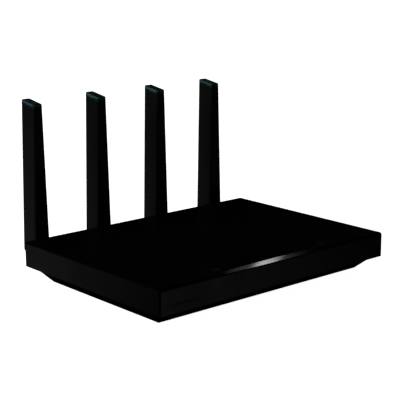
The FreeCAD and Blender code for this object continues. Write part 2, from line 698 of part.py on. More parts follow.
def make_main_board():
    body = new_body("main_board")
    plan = sketch_on(body, "XY_Plane", board_z)
    rectangle(plan, f"{left_x} + board_in_side", f"{front_y} + board_in_front",
              f"{right_x} - board_in_side", f"{panel_inner_y} - part_gap")
    for across, along in foot_places:
        circle(plan, across, along, "case_post_radius + part_gap")
    for across, along in board_post_places:
        circle(plan, across, along, "board_screw_radius + part_gap")
    pad(body, plan, "board_thickness")
    notches = sketch_on(body, "XY_Plane", board_z)
    for across in antenna_places:
        half = "(spindle_radius + sleeve_wall + part_gap)"
        rectangle(notches, f"{across} - {half}", f"{spindle_inner_y} - part_gap",
                  f"{across} + {half}", f"{panel_inner_y} + cut_over")
    pocket(body, notches, "board_thickness")
    finish(body, "main_board")
    screws = []
    for across, along in board_post_places:
        shank_z = f"({board_z} - screw_grip + part_gap)"
        shank = rod("board_screw_shank", (across, along, shank_z), "board_screw_radius",
                    "board_thickness + screw_grip", "z")
        head = rod("board_screw_head", (across, along, board_top_z), "board_screw_head",
                   "screw_head_height", "z")
        screws.append(fused("board_screw", [shank, head]))
    finish(group("board_screws", screws), "board_screws")


def shield(name, across, along, width, depth):
    """A shallow can, open below, that stands on the board."""
    outer = block(f"{name}_outer", (f"({across} - {width}/2)", f"({along} - {depth}/2)", board_top_z),
                  (f"({across} + {width}/2)", f"({along} + {depth}/2)", f"({board_top_z} + shield_height)"))
    half_width = f"({width}/2 - shield_wall)"
    half_depth = f"({depth}/2 - shield_wall)"
    inner = block(f"{name}_inner",
                  (f"({across} - {half_width})", f"({along} - {half_depth})", f"({board_top_z} - cut_over)"),
                  (f"({across} + {half_width})", f"({along} + {half_depth})",
                   f"({board_top_z} + shield_height - shield_wall)"))
    return without(name, outer, [inner])


def heat_sink(name, across, along, fins, depth):
    """A base with upright fins that run front to back."""
    base_z = f"({board_top_z} + shield_height)"
    width = f"({fins - 1}*fin_pitch + fin_thickness)"
    base = block(f"{name}_base", (f"({across} - {width}/2)", f"({along} - {depth}/2)", base_z),
                 (f"({across} + {width}/2)", f"({along} + {depth}/2)", f"({base_z} + sink_base)"))
    pieces = [base]
    for place in range(fins):
        fin_x = f"({across} - {width}/2 + {place}*fin_pitch)"
        fin = block(f"{name}_fin", (fin_x, f"({along} - {depth}/2)", f"({base_z} + sink_base/2)"),
                    (f"({fin_x} + fin_thickness)", f"({along} + {depth}/2)",
                     f"({top_inner_z} - fin_clearance)"))
        pieces.append(fin)
    return fused(name, pieces)


def make_board_parts():
    middle_y = f"(({floor_front_y} + {floor_rear_y})/2)"
    finish(shield("processor_shield", "0", middle_y, "processor_shield_size", "processor_shield_size"),
           "processor_shield")
    finish(heat_sink("processor_sink", "0", middle_y, processor_fins, "processor_shield_size"),
           "processor_heat_sink")
    radios = [("(0 - radio_across)", middle_y), ("radio_across", middle_y),
              ("front_radio_across", f"({middle_y} - front_radio_ahead)")]
    cans = [shield("radio_shield_can", across, along, "radio_shield_width", "radio_shield_depth")
            for across, along in radios]
    finish(group("radio_shields", cans), "radio_shields")
    sinks = [heat_sink("radio_sink", across, along, radio_fins, "radio_shield_depth")
             for across, along in radios]
    finish(group("radio_heat_sinks", sinks), "radio_heat_sinks")


# Sockets

def block_width(count):
    return f"({count - 1}*port_pitch + port_mouth_width + 2*port_end_wall)"


antenna_places = [f"({place}*antenna_pitch)" for place in (-1.5, -0.5, 0.5, 1.5)]
port_blocks = {
    "local_port_block": ("0", 4),
    "local_port_pair": ("local_pair_centre", 2),
    "wide_port": ("wide_port_centre", 1),
}
usb_places = ["(0 - usb_first)", "(0 - usb_second)"]
reset_front_y = f"({rear_y} - reset_deep)"
reset_back_y = f"({panel_inner_y} - reset_switch_in)"


def make_port_block(name, centre, count):
    """A row of network sockets in one housing, each with its latch notch above."""
    body = new_body(name)
    housing = sketch_on(body, "XZ_Plane", f"0 - {rear_y}")
    width = block_width(count)
    rectangle(housing, f"{centre} - {width}/2", board_top_z,
              f"{centre} + {width}/2", f"{board_top_z} + port_height")
    pad(body, housing, "port_depth")
    mouths = sketch_on(body, "XZ_Plane", f"0 - {rear_y}")
    for place in range(count):
        across = f"({centre} + {place - (count - 1) / 2}*port_pitch)"
        low = f"({board_top_z} + (port_height - port_mouth_height - port_latch_height)/2)"
        high = f"({low} + port_mouth_height)"
        half = "(port_mouth_width/2)"
        notch = "(port_latch_width/2)"
        roof = f"({high} + port_latch_height)"
        outline(mouths, [(f"{across} - {half}", low), (f"{across} + {half}", low),
                         (f"{across} + {half}", high), (f"{across} + {notch}", high),
                         (f"{across} + {notch}", roof), (f"{across} - {notch}", roof),
                         (f"{across} - {notch}", high), (f"{across} - {half}", high)])
    pocket(body, mouths, "port_mouth_depth")
    finish(body, name)


def make_usb_sockets():
    shells = []
    tongues = []
    inner_y = f"({rear_y} - usb_depth + usb_wall)"
    roof_z = f"({board_top_z} + usb_height - usb_wall)"
    tongue_z = f"({roof_z} - usb_tongue_down)"
    for across in usb_places:
        left = f"({across} - usb_width/2)"
        right = f"({across} + usb_width/2)"
        outer = block("usb_outer", (left, f"({rear_y} - usb_depth)", board_top_z),
                      (right, rear_y, f"({board_top_z} + usb_height)"))
        inner = block("usb_inner", (f"({left} + usb_wall)", inner_y, f"({board_top_z} + usb_wall)"),
                      (f"({right} - usb_wall)", f"({rear_y} + cut_over)", roof_z))
        shells.append(without("usb_shell", outer, [inner]))
        tongue = block("usb_tongue", (f"({left} + usb_wall + usb_tongue_in)", inner_y, tongue_z),
                       (f"({right} - usb_wall - usb_tongue_in)", f"({rear_y} - usb_tongue_back)",
                        f"({tongue_z} + usb_tongue_thickness)"))
        tongues.append(tongue)
    finish(group("usb_shells", shells), "usb_shells")
    finish(group("usb_tongues", tongues), "usb_tongues")


def make_power_inlet():
    housing = block("power_housing",
                    ("(0 - power_centre - power_width/2)", f"({rear_y} - power_depth)", board_top_z),
                    ("(0 - power_centre + power_width/2)", rear_y, f"({board_top_z} + power_height)"))
    bore_end = ("(0 - power_centre)", f"({rear_y} - power_bore_depth)", f"({board_top_z} + power_height/2)")
    mouth = rod("power_mouth", bore_end, "power_bore", "power_bore_depth + cut_over", "y")
    finish(without("power_inlet", housing, [mouth]), "power_inlet")
    pin = rod("power_pin", bore_end, "power_pin", "power_bore_depth - power_pin_back", "y")
    finish(pin, "power_inlet_pin")


# Rear controls

def make_rear_controls():
    across = "(0 - switch_centre)"
    collar_y = f"({panel_inner_y} - button_flange - part_gap)"
    cap = rod("power_cap", (across, collar_y, control_z), "switch_radius",
              f"{rear_y} + switch_proud - {collar_y}", "y")
    collar = rod("power_collar", (across, collar_y, control_z), "switch_radius + button_flange",
                 "button_flange", "y")
    stem_y = f"({collar_y} - switch_stem)"
    stem = rod("power_stem", (across, stem_y, control_z), "button_stem_radius", "switch_stem", "y")
    finish(fused("power_button", [cap, collar, stem]), "power_button")
    switch_y = f"({stem_y} - switch_travel - button_gap)"
    switch = block("switch_can", (f"({across} - switch_size/2)", f"({switch_y} - switch_depth)", board_top_z),
                   (f"({across} + switch_size/2)", switch_y, f"({control_z} + switch_size/2)"))
    finish(switch, "power_switch")

    plunger_y = f"({reset_back_y} + reset_travel + button_gap)"
    plunger = rod("reset_plunger", (reset_x, plunger_y, control_z), "reset_radius",
                  f"{reset_front_y} - {plunger_y}", "y")
    reset_collar = rod("reset_collar", (reset_x, plunger_y, control_z), "reset_radius + button_flange",
                       f"{panel_inner_y} - part_gap - {plunger_y}", "y")
    finish(fused("reset_button", [plunger, reset_collar]), "reset_button")

    plate_y = f"({panel_inner_y} - part_gap - slider_plate_thickness)"
    nib_left = f"({slider_x} - slider_nib_width/2)"
    nib_right = f"({slider_x} + slider_nib_width/2)"
    nib_low = f"({control_z} - slider_nib_height/2)"
    nib_high = f"({control_z} + slider_nib_height/2)"
    nib = block("slider_nib", (nib_left, plate_y, nib_low),
                (nib_right, f"({rear_y} + slider_proud)", nib_high))
    plate = block("slider_plate",
                  (f"({nib_left} - slider_plate_side)", plate_y, f"({nib_low} - slider_plate_end)"),
                  (f"({nib_right} + slider_plate_side)", f"({plate_y} + slider_plate_thickness)",
                   f"({nib_high} + slider_plate_end)"))
    finish(fused("light_switch_knob", [nib, plate]), "light_switch_knob")
    light_switch = block("light_switch_can",
                         (f"({nib_left} - light_switch_side)", f"({plate_y} - light_switch_depth)",
                          board_top_z),
                         (f"({nib_right} + slider_travel + light_switch_side)", f"({plate_y} - part_gap)",
                          f"({control_z} + slider_nib_height)"))
    finish(light_switch, "light_switch")


# Antennas

blade_height = f"({tip_z} - {blade_foot_z})"
seam_rear_z = f"({tip_z} - tip_cap)"
seam_front_z = f"({seam_rear_z} - tip_drop)"
root_z = f"({seam_front_z} - tip_root)"
before_blade = f"({blade_front_y} - cut_over)"
behind_blade = f"({blade_rear_y} + cut_over)"


def blade_half_width(height):
    """Half the width of the tapered blade at a height."""
    share = f"(({height}) - {blade_foot_z})/{blade_height}"
    return f"((antenna_root_width + (antenna_tip_width - antenna_root_width)*{share})/2)"


def blade_outline(sketch, low, high, sides):
    """The blade from the front between two heights: both sides of its middle, or one."""
    left = f"(0 - {blade_half_width(low)})" if -1 in sides else "0"
    right = blade_half_width(low) if 1 in sides else "0"
    left_high = f"(0 - {blade_half_width(high)})" if -1 in sides else "0"
    right_high = blade_half_width(high) if 1 in sides else "0"
    outline(sketch, [(left, low), (right, low), (right_high, high), (left_high, high)])


def sloped(rear_height):
    """Heights just before and just behind the blade, on the tip's slope with this height at its back."""
    return (f"({rear_height} - tip_drop*(antenna_depth + cut_over)/antenna_depth)",
            f"({rear_height} + tip_drop*cut_over/antenna_depth)")


def outer_long_edge(edge):
    """True for the blade's long edges, away from its middle plane."""
    box = edge.BoundBox
    return near(box.YLength, 0) and box.ZLength > box.XLength > tolerance


def make_antenna_half(number_name, across, side):
    name = f"antenna_{number_name}_{'left' if side < 0 else 'right'}_half"
    body = new_body(name)
    face = sketch_on(body, "XZ_Plane", f"0 - {blade_front_y}")
    blade_outline(face, blade_foot_z, tip_z, (side,))
    pad(body, face, "antenna_depth", reverse=True)
    fillet(body, "antenna_edge", outer_long_edge)
    foot = number(blade_foot_z)
    fillet(body, "antenna_foot_edge", lambda edge: near(edge.BoundBox.ZMax, foot) and runs_along(edge, "x"))

    outward = side > 0
    above = sketch_on(body, "YZ_Plane", f"0 - {side}*cut_over")
    low, high = sloped(seam_rear_z)
    outline(above, [(before_blade, low), (behind_blade, high),
                    (behind_blade, f"{tip_z} + cut_over"), (before_blade, f"{tip_z} + cut_over")])
    pocket(body, above, "antenna_root_width", along_normal=outward)
    slot = sketch_on(body, "YZ_Plane", "0")
    rectangle(slot, before_blade, f"{blade_foot_z} - cut_over", behind_blade, f"{hinge_z} + fork_above")
    pocket(body, slot, "fork_slot/2", along_normal=outward)
    hollow = sketch_on(body, "YZ_Plane", "0")
    rectangle(hollow, f"{blade_front_y} + hollow_margin", f"{hinge_z} + fork_above + hollow_margin",
              f"{blade_rear_y} - hollow_margin", f"{seam_front_z} - tip_root/2")
    pocket(body, hollow, "hollow_half", along_normal=outward)
    throat = sketch_on(body, "YZ_Plane", "0")
    rectangle(throat, f"{hinge_y} - pipe_half_depth - part_gap", f"{root_z} - 2*part_gap",
              f"{hinge_y} + pipe_half_depth + part_gap", tip_z)
    pocket(body, throat, "pipe_half_width + part_gap", along_normal=outward)
    pin_hole = sketch_on(body, "YZ_Plane", "0")
    circle(pin_hole, hinge_y, hinge_z, "hinge_pin_radius")
    pocket(body, pin_hole, "antenna_root_width", along_normal=outward)
    bind(body, {"Placement.Base.x": across})
    finish(body, name)


def make_antenna_tip(number_name, across):
    name = f"antenna_{number_name}_tip"
    body = new_body(name)
    face = sketch_on(body, "XZ_Plane", f"0 - {blade_front_y}")
    blade_outline(face, root_z, tip_z, (-1, 1))
    pad(body, face, "antenna_depth", reverse=True)
    fillet(body, "antenna_edge", outer_long_edge)
    above = sketch_on(body, "YZ_Plane", "0 - antenna_root_width")
    low, high = sloped(tip_z)
    outline(above, [(before_blade, low), (behind_blade, high),
                    (behind_blade, f"{tip_z} + cut_over"), (before_blade, f"{tip_z} + cut_over")])
    pocket(body, above, "2*antenna_root_width")
    below = sketch_on(body, "YZ_Plane", "0 - antenna_root_width")
    low, high = sloped(seam_rear_z)
    outline(below, [(before_blade, f"{root_z} - cut_over"), (behind_blade, f"{root_z} - cut_over"),
                    (behind_blade, high), (before_blade, low)])
    pocket(body, below, "2*antenna_root_width")
    top = number(tip_z)
    slope = number("tip_drop/antenna_depth")
    rear = number(blade_rear_y)

    def on_top(edge):
        return all(near(point.Point.z, top - slope * (rear - point.Point.y)) for point in edge.Vertexes)

    fillet(body, "tip_edge", on_top)
    pipe = sketch_on(body, "YZ_Plane", "0 - pipe_half_width")
    rectangle(pipe, f"{hinge_y} - pipe_half_depth", root_z,
              f"{hinge_y} + pipe_half_depth", f"{seam_rear_z} - tip_drop/2 + pipe_into_cap")
    pad(body, pipe, "2*pipe_half_width")
    bind(body, {"Placement.Base.x": across})
    finish(body, name)


def make_antenna(number_name, across):
    make_antenna_half(number_name, across, -1)
    make_antenna_half(number_name, across, 1)
    make_antenna_tip(number_name, across)
    prefix = f"antenna_{number_name}"
    half = "(radiator_thickness/2)"
    radiator = block(f"{prefix}_board",
                     (f"({across} - {half})", f"({blade_front_y} + hollow_margin + part_gap)",
                      f"({hinge_z} + fork_above + hollow_margin + part_gap)"),
                     (f"({across} + {half})", f"({blade_rear_y} - hollow_margin - part_gap)",
                      f"({root_z} - 2*part_gap)"))
    finish(radiator, f"{prefix}_radiator")
    pin_length = f"(2*{blade_half_width(hinge_z)} - 2*pin_recess)"
    finish(rod(f"{prefix}_hinge_pin", (f"({across} - {pin_length}/2)", hinge_y, hinge_z), "hinge_pin_radius",
               pin_length, "x"), f"{prefix}_hinge_pin")

    flange_y = f"({rear_y} + part_gap)"
    spindle = rod(f"{prefix}_spindle", (across, spindle_inner_y, hinge_z), "spindle_radius",
                  f"{flange_y} + knuckle_flange/2 - {spindle_inner_y}", "y")
    flange = rod(f"{prefix}_flange", (across, flange_y, hinge_z), "spindle_radius + knuckle_flange_lip",
                 "knuckle_flange", "y")
    neck = block(f"{prefix}_neck", (f"({across} - tongue_width/2)", flange_y, f"({hinge_z} - tongue_radius)"),
                 (f"({across} + tongue_width/2)", hinge_y, f"({hinge_z} + tongue_radius)"))
    tongue = rod(f"{prefix}_tongue", (f"({across} - tongue_width/2)", hinge_y, hinge_z), "tongue_radius",
                 "tongue_width", "x")
    pin_way = rod(f"{prefix}_pin_way", (f"({across} - tongue_width/2 - cut_over)", hinge_y, hinge_z),
                  "hinge_pin_radius + running_gap", "tongue_width + 2*cut_over", "x")
    lead_way = rod(f"{prefix}_lead_way", (across, f"({spindle_inner_y} - cut_over)", hinge_z),
                   "spindle_bore", f"{blade_front_y} - {spindle_inner_y}", "y")
    groove_outer = rod(f"{prefix}_groove_outer", (across, f"({clip_y} - part_gap/2)", hinge_z),
                       "spindle_radius + cut_over", "clip_thickness + part_gap", "y")
    groove_inner = rod(f"{prefix}_groove_inner", (across, f"({clip_y} - cut_over)", hinge_z),
                       "spindle_radius - clip_groove", "clip_thickness + 2*cut_over", "y")
    groove = without(f"{prefix}_groove", groove_outer, [groove_inner])
    solid = fused(f"{prefix}_knuckle_solid", [spindle, flange, neck, tongue])
    finish(without(f"{prefix}_knuckle", solid, [pin_way, lead_way, groove]), f"{prefix}_knuckle")

    ring = rod(f"{prefix}_clip_ring", (across, clip_y, hinge_z), "spindle_radius + clip_lip",
               "clip_thickness", "y")
    bore = rod(f"{prefix}_clip_bore", (across, f"({clip_y} - cut_over)", hinge_z),
               "spindle_radius - clip_groove + running_gap", "clip_thickness + 2*cut_over", "y")
    gap = block(f"{prefix}_clip_gap", (f"({across} - clip_opening/2)", f"({clip_y} - cut_over)", hinge_z),
                (f"({across} + clip_opening/2)", f"({clip_y} + clip_thickness + cut_over)",
                 f"({hinge_z} + spindle_radius + clip_lip + cut_over)"))
    finish(without(f"{prefix}_clip", ring, [bore, gap]), f"{prefix}_clip")


def make_antenna_leads():
    """Four leads, from inside each spindle forward and down in one bend to the main board."""
    leads = []
    bend = number("lead_bend")
    turn_y = number(f"{spindle_inner_y} - lead_straight")
    top = number(hinge_z)
    elbow = bend * (1 - math.cos(math.radians(45)))
    for across in antenna_places:
        x = number(across)
        start = FreeCAD.Vector(x, number(f"{blade_front_y} - lead_end_in"), top)
        turn = FreeCAD.Vector(x, turn_y, top)
        middle = FreeCAD.Vector(x, turn_y - bend + elbow, top - elbow)
        end = FreeCAD.Vector(x, turn_y - bend, top - bend)
        board = FreeCAD.Vector(x, end.y, number(board_top_z))
        inside_plug = board + FreeCAD.Vector(0, 0, number("plug_height/2"))
        path = Part.Wire([Part.LineSegment(start, turn).toShape(), Part.Arc(turn, middle, end).toShape(),
                          Part.LineSegment(end, inside_plug).toShape()])
        section = Part.Wire([Part.Circle(start, FreeCAD.Vector(0, 1, 0), number("lead_radius")).toShape()])
        lead = path.makePipeShell([section], True, False)
        plug = Part.makeCylinder(number("plug_radius"), number("plug_height"), board)
        leads.append(lead.fuse(plug))
    feature = document.addObject("Part::Feature", "antenna_leads")
    feature.Shape = Part.makeCompound(leads)
    feature.Placement = FreeCAD.Placement()
    finish(feature, "antenna_leads")


make_top_cover()
make_vent_grille()
make_bottom_case()
make_rear_panel()
make_small_case_parts()
make_indicator_parts()
make_tact_switches()
make_main_board()
make_board_parts()
for block_name, (block_centre, block_count) in port_blocks.items():
    make_port_block(block_name, block_centre, block_count)
make_usb_sockets()
make_power_inlet()
make_rear_controls()
for place, antenna_place in enumerate(antenna_places, start=1):
    make_antenna(place, antenna_place)
make_antenna_leads()

document.recompute()

for thing in document.Objects:
    if "Invalid" in thing.State or "Error" in thing.State:
        raise RuntimeError(f"{thing.Label} did not compute: {thing.State}")

os.makedirs("parts", exist_ok=True)
for thing in finished:
    shape = thing.Shape
    if shape.isNull() or not shape.isValid():
        raise RuntimeError(f"{thing.Label} has no valid shape")
    shape.exportStep(f"parts/{thing.Label}.step")
print(f"{len(finished)} sub-parts written")
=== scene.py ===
import json
import math
import bpy
import bmesh
import numpy as np
from mathutils import Matrix, Vector


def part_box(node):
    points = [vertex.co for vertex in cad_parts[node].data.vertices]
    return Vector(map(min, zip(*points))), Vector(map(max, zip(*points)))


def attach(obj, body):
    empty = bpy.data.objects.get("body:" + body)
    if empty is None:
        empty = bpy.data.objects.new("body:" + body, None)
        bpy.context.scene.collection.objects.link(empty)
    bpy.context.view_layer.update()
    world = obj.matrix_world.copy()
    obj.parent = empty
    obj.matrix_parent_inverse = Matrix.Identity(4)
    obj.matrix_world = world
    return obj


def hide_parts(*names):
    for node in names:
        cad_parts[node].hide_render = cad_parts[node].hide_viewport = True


# desktop router with four folding antennas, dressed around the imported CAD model, in metres
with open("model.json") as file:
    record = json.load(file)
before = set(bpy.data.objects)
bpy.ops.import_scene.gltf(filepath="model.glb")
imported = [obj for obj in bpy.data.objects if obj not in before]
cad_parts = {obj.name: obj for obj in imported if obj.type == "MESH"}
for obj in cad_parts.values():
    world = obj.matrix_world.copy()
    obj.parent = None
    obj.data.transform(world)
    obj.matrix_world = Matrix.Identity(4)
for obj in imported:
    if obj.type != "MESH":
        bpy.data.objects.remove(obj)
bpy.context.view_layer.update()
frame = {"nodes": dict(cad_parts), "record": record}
nodes = frame["nodes"]
slotOfNode = {part["node"]: part["material_slot"] for part in frame["record"]["subparts"]}
antennas = [f"antenna_{number}" for number in (1, 2, 3, 4)]
mm = 0.001
print("frame loaded:", len(nodes), "nodes")


def corners(node):
    low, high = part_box(node)
    return np.array(low), np.array(high)


def middle(node):
    low, high = corners(node)
    return (low + high) / 2


# building blocks of the materials

def newMaterial(name, values):
    material = bpy.data.materials.new(name)
    material.use_nodes = True
    tree = material.node_tree
    shader = tree.nodes["Principled BSDF"]
    for socket, value in values.items():
        shader.inputs[socket].default_value = value
    return material, tree, shader


def addNode(tree, kind, values=None, **settings):
    node = tree.nodes.new(kind)
    for name, value in settings.items():
        setattr(node, name, value)
    for socket, value in (values or {}).items():
        if isinstance(value, bpy.types.NodeSocket):
            tree.links.new(value, node.inputs[socket])
        else:
            node.inputs[socket].default_value = value
    return node


def grainSpace(tree, stretch=(1, 1, 1), turn=(0, 0, 0)):
    coordinates = addNode(tree, "ShaderNodeTexCoord")
    mapping = addNode(tree, "ShaderNodeMapping",
                      {"Vector": coordinates.outputs["Object"], "Scale": stretch, "Rotation": turn})
    return mapping.outputs["Vector"]


def noise(tree, place, scale, detail=2.0, roughness=0.5):
    values = {"Vector": place, "Scale": scale, "Detail": detail, "Roughness": roughness}
    return addNode(tree, "ShaderNodeTexNoise", values).outputs["Fac"]


def remap(tree, value, fromLow, fromHigh, toLow, toHigh):
    values = {"Value": value, "From Min": fromLow, "From Max": fromHigh, "To Min": toLow, "To Max": toHigh}
    return addNode(tree, "ShaderNodeMapRange", values).outputs["Result"]


def maths(tree, operation, first, second=0.0):
    node = addNode(tree, "ShaderNodeMath", operation=operation)
    for socket, value in zip(node.inputs, (first, second)):
        if isinstance(value, bpy.types.NodeSocket):
            tree.links.new(value, socket)
        else:
            socket.default_value = value
    return node.outputs[0]


def blendColour(tree, factor, first, second):
    node = addNode(tree, "ShaderNodeMix", data_type="RGBA")
    for socket, value in zip((node.inputs[0], node.inputs[6], node.inputs[7]), (factor, first, second)):
        if isinstance(value, bpy.types.NodeSocket):
            tree.links.new(value, socket)
        else:
            socket.default_value = value
    return node.outputs[2]


def bump(tree, shader, height, strength, distance):
    node = addNode(tree, "ShaderNodeBump", {"Height": height, "Strength": strength, "Distance": distance})
    tree.links.new(node.outputs["Normal"], shader.inputs["Normal"])


def edgeMask(tree, radius):
    # 1 on edges, 0 on flat faces: how far the rounded normal leans off the flat one; it places paler wear and
    #                              a painted edge highlight
    soft = addNode(tree, "ShaderNodeBevel", {"Radius": radius}, samples=4)
    flat = addNode(tree, "ShaderNodeNewGeometry")
    product = addNode(tree, "ShaderNodeVectorMath", operation="DOT_PRODUCT")
    tree.links.new(soft.outputs["Normal"], product.inputs[0])
    tree.links.new(flat.outputs["Normal"], product.inputs[1])
    return remap(tree, product.outputs["Value"], 0.995, 0.80, 0.0, 1.0)


def colour(red, green, blue):
    return (red, green, blue, 1.0)


def mouldedPlastic(name, look):
    # colour drifts between two shades, fine spark grain in bump, handling marks in roughness,
    # paler edges that are patchy wear and also a painted edge highlight, and a polished facet where the look
    # has them
    material, tree, shader = newMaterial(name, look.get("shader", {}))
    place = grainSpace(tree)
    drift = noise(tree, place, look["driftScale"], 3)
    grain = noise(tree, place, look["grainScale"], 1)
    marks = noise(tree, grainSpace(tree, look.get("markStretch", (1, 1, 1))), look["markScale"], 4, 0.6)
    base = blendColour(tree, remap(tree, drift, 0.35, 0.65, 0, 1), look["colour"], look["paler"])
    # paler edges: patchy wear plus a painted edge highlight
    if "edgeWearAndHighlight" in look:
        wearAndHighlight = maths(tree, "MULTIPLY", edgeMask(tree, look["edgeRadius"]),
                     remap(tree, marks, 0.35, 0.6, 0.2, 1))
        base = blendColour(tree, wearAndHighlight, base, look["edgeWearAndHighlight"])
    tree.links.new(base, shader.inputs["Base Color"])
    rough = maths(tree, "ADD", remap(tree, marks, 0.3, 0.7, look["smooth"], look["rough"]),
                  remap(tree, grain, 0.3, 0.7, -0.02, 0.02))
    if "polished" in look:
        # only on the slanted facet: in front of one plane and between two heights
        axes = addNode(tree, "ShaderNodeSeparateXYZ", {"Vector": grainSpace(tree)}).outputs
        onFacet = maths(tree, "LESS_THAN", axes["Y"], look["facetBack"])
        for test, height in (("GREATER_THAN", look["facetLow"]), ("LESS_THAN", look["facetHigh"])):
            onFacet = maths(tree, "MULTIPLY", onFacet, maths(tree, test, axes["Z"], height))
        gloss = maths(tree, "MULTIPLY", onFacet, maths(tree, "SUBTRACT", look["polished"], rough))
        rough = maths(tree, "ADD", rough, gloss)
    tree.links.new(rough, shader.inputs["Roughness"])
    bump(tree, shader, grain, look["grainStrength"], look["grainDepth"])
    return material


def workedMetal(name, look):
    # lines left by rolling, drawing or turning, with a little tarnish
    material, tree, shader = newMaterial(name, {"Metallic": 1.0})
    lines = noise(tree, grainSpace(tree, look["stretch"]), look["lineScale"], 3, 0.65)
    tarnish = noise(tree, grainSpace(tree), look["tarnishScale"], 4)
    shade = maths(tree, "MULTIPLY", remap(tree, lines, 0.3, 0.7, 0.3, 1),
                  remap(tree, tarnish, 0.35, 0.7, 1, 0.35))
    tree.links.new(blendColour(tree, shade, look["dull"], look["bright"]), shader.inputs["Base Color"])
    rough = maths(tree, "ADD", remap(tree, lines, 0.3, 0.7, look["smooth"], look["rough"]),
                  remap(tree, tarnish, 0.4, 0.7, 0, 0.12))
    tree.links.new(rough, shader.inputs["Roughness"])
    bump(tree, shader, lines, look["lineStrength"], look["lineDepth"])
    return material


# the finishes, one for each material slot

coverLow, coverHigh = corners("top_cover")
caseLook = {
    "colour": colour(0.0011, 0.0011, 0.0012),
    "paler": colour(0.0016, 0.0016, 0.0017),
    # edge colour: paler wear and a painted edge highlight
    "edgeWearAndHighlight": colour(0.0030, 0.0030, 0.0032),
    "edgeRadius": 0.5 * mm,
    "driftScale": 14, "grainScale": 2600, "markScale": 34,
    "smooth": 0.27, "rough": 0.36,
    "grainStrength": 0.06, "grainDepth": 0.00004,
    "polished": 0.07, "facetBack": coverLow[1] + 7.3 * mm,
    "facetLow": coverHigh[2] - 2.1 * mm, "facetHigh": coverHigh[2] - 0.02 * mm,
    "shader": {"Specular IOR Level": 0.5},
}
antennaLook = {
    "colour": colour(0.0046, 0.0046, 0.0046),
    "paler": colour(0.0056, 0.0056, 0.0056),
    # edge colour: paler wear and a painted edge highlight
    "edgeWearAndHighlight": colour(0.0080, 0.0080, 0.0080),
    "edgeRadius": 0.5 * mm,
    "driftScale": 18, "grainScale": 3000, "markScale": 40, "markStretch": (1, 1, 0.3),
    "smooth": 0.34, "rough": 0.44,
    "grainStrength": 0.08, "grainDepth": 0.00004,
    "shader": {"Specular IOR Level": 0.4},
}
knuckleLook = dict(antennaLook, colour=colour(0.0034, 0.0034, 0.0034), smooth=0.36, rough=0.5)
controlLook = {
    "colour": colour(0.006, 0.006, 0.0062), "paler": colour(0.0085, 0.0085, 0.0088),
    "driftScale": 120, "grainScale": 5200, "markScale": 260,
    "smooth": 0.30, "rough": 0.48, "grainStrength": 0.15, "grainDepth": 0.00003,
}
socketLook = {
    "colour": colour(0.010, 0.010, 0.011), "paler": colour(0.016, 0.016, 0.017),
    "driftScale": 90, "grainScale": 3600, "markScale": 220,
    "smooth": 0.38, "rough": 0.55, "grainStrength": 0.2, "grainDepth": 0.00004,
}
wideSocketLook = dict(socketLook, colour=colour(0.010, 0.060, 0.21), paler=colour(0.014, 0.078, 0.26))
tongueLook = dict(socketLook, colour=colour(0.30, 0.30, 0.29), paler=colour(0.38, 0.38, 0.36))
badgeLook = {
    "colour": colour(0.0130, 0.0135, 0.0145), "paler": colour(0.0200, 0.0205, 0.0215),
    "driftScale": 160, "grainScale": 6000, "markScale": 300, "markStretch": (0.12, 1, 1),
    "smooth": 0.24, "rough": 0.36, "grainStrength": 0.08, "grainDepth": 0.00002,
    "shader": {"Metallic": 0.35},
}
rubberLook = {
    "colour": colour(0.009, 0.009, 0.009), "paler": colour(0.016, 0.0155, 0.015),
    "driftScale": 240, "grainScale": 2400, "markScale": 420,
    "smooth": 0.72, "rough": 0.92, "grainStrength": 0.45, "grainDepth": 0.00008,
}
jacketLook = {
    "colour": colour(0.011, 0.011, 0.012), "paler": colour(0.018, 0.018, 0.019),
    "driftScale": 200, "grainScale": 2600, "markScale": 300,
    "smooth": 0.35, "rough": 0.5, "grainStrength": 0.15, "grainDepth": 0.00004,
}
windowLook = {
    "colour": colour(0.0006, 0.0007, 0.0008), "paler": colour(0.0010, 0.0011, 0.0013),
    "driftScale": 60, "grainScale": 900, "markScale": 90,
    "smooth": 0.06, "rough": 0.14, "grainStrength": 0.02, "grainDepth": 0.00002,
    "shader": {"Coat Weight": 0.4, "Coat Roughness": 0.05},
}
guideLook = {
    "colour": colour(0.42, 0.46, 0.45), "paler": colour(0.58, 0.62, 0.60),
    "driftScale": 300, "grainScale": 2200, "markScale": 260,
    "smooth": 0.18, "rough": 0.32, "grainStrength": 0.1, "grainDepth": 0.00003,
    "shader": {"Transmission Weight": 0.55, "IOR": 1.49},
}
packageLook = dict(socketLook, colour=colour(0.014, 0.014, 0.015), paler=colour(0.024, 0.024, 0.025))
steelLook = {
    "dull": colour(0.25, 0.24, 0.23), "bright": colour(0.58, 0.57, 0.55),
    "stretch": (1, 0.08, 1), "lineScale": 2600, "tarnishScale": 320,
    "smooth": 0.24, "rough": 0.42, "lineStrength": 0.2, "lineDepth": 0.00003,
}
shieldLook = dict(steelLook, dull=colour(0.42, 0.42, 0.40), bright=colour(0.72, 0.71, 0.69),
                  stretch=(0.04, 1, 1), lineScale=1500, tarnishScale=60)
sinkLook = dict(steelLook, dull=colour(0.30, 0.31, 0.32), bright=colour(0.62, 0.63, 0.64),
                stretch=(1, 0.02, 1), lineScale=2200, tarnishScale=70, smooth=0.34, rough=0.5)
goldLook = dict(steelLook, dull=colour(0.52, 0.33, 0.10), bright=colour(0.86, 0.60, 0.24),
                stretch=(1, 0.1, 0.1), lineScale=3600, tarnishScale=700, smooth=0.16, rough=0.3)
boardLook = {
    "mask": colour(0.004, 0.028, 0.016), "maskPaler": colour(0.006, 0.040, 0.022),
    "trace": colour(0.012, 0.075, 0.038), "via": colour(0.48, 0.36, 0.14),
    "traceScale": 210, "busScale": 420, "viaScale": 260,
    "smooth": 0.22, "rough": 0.38,
}
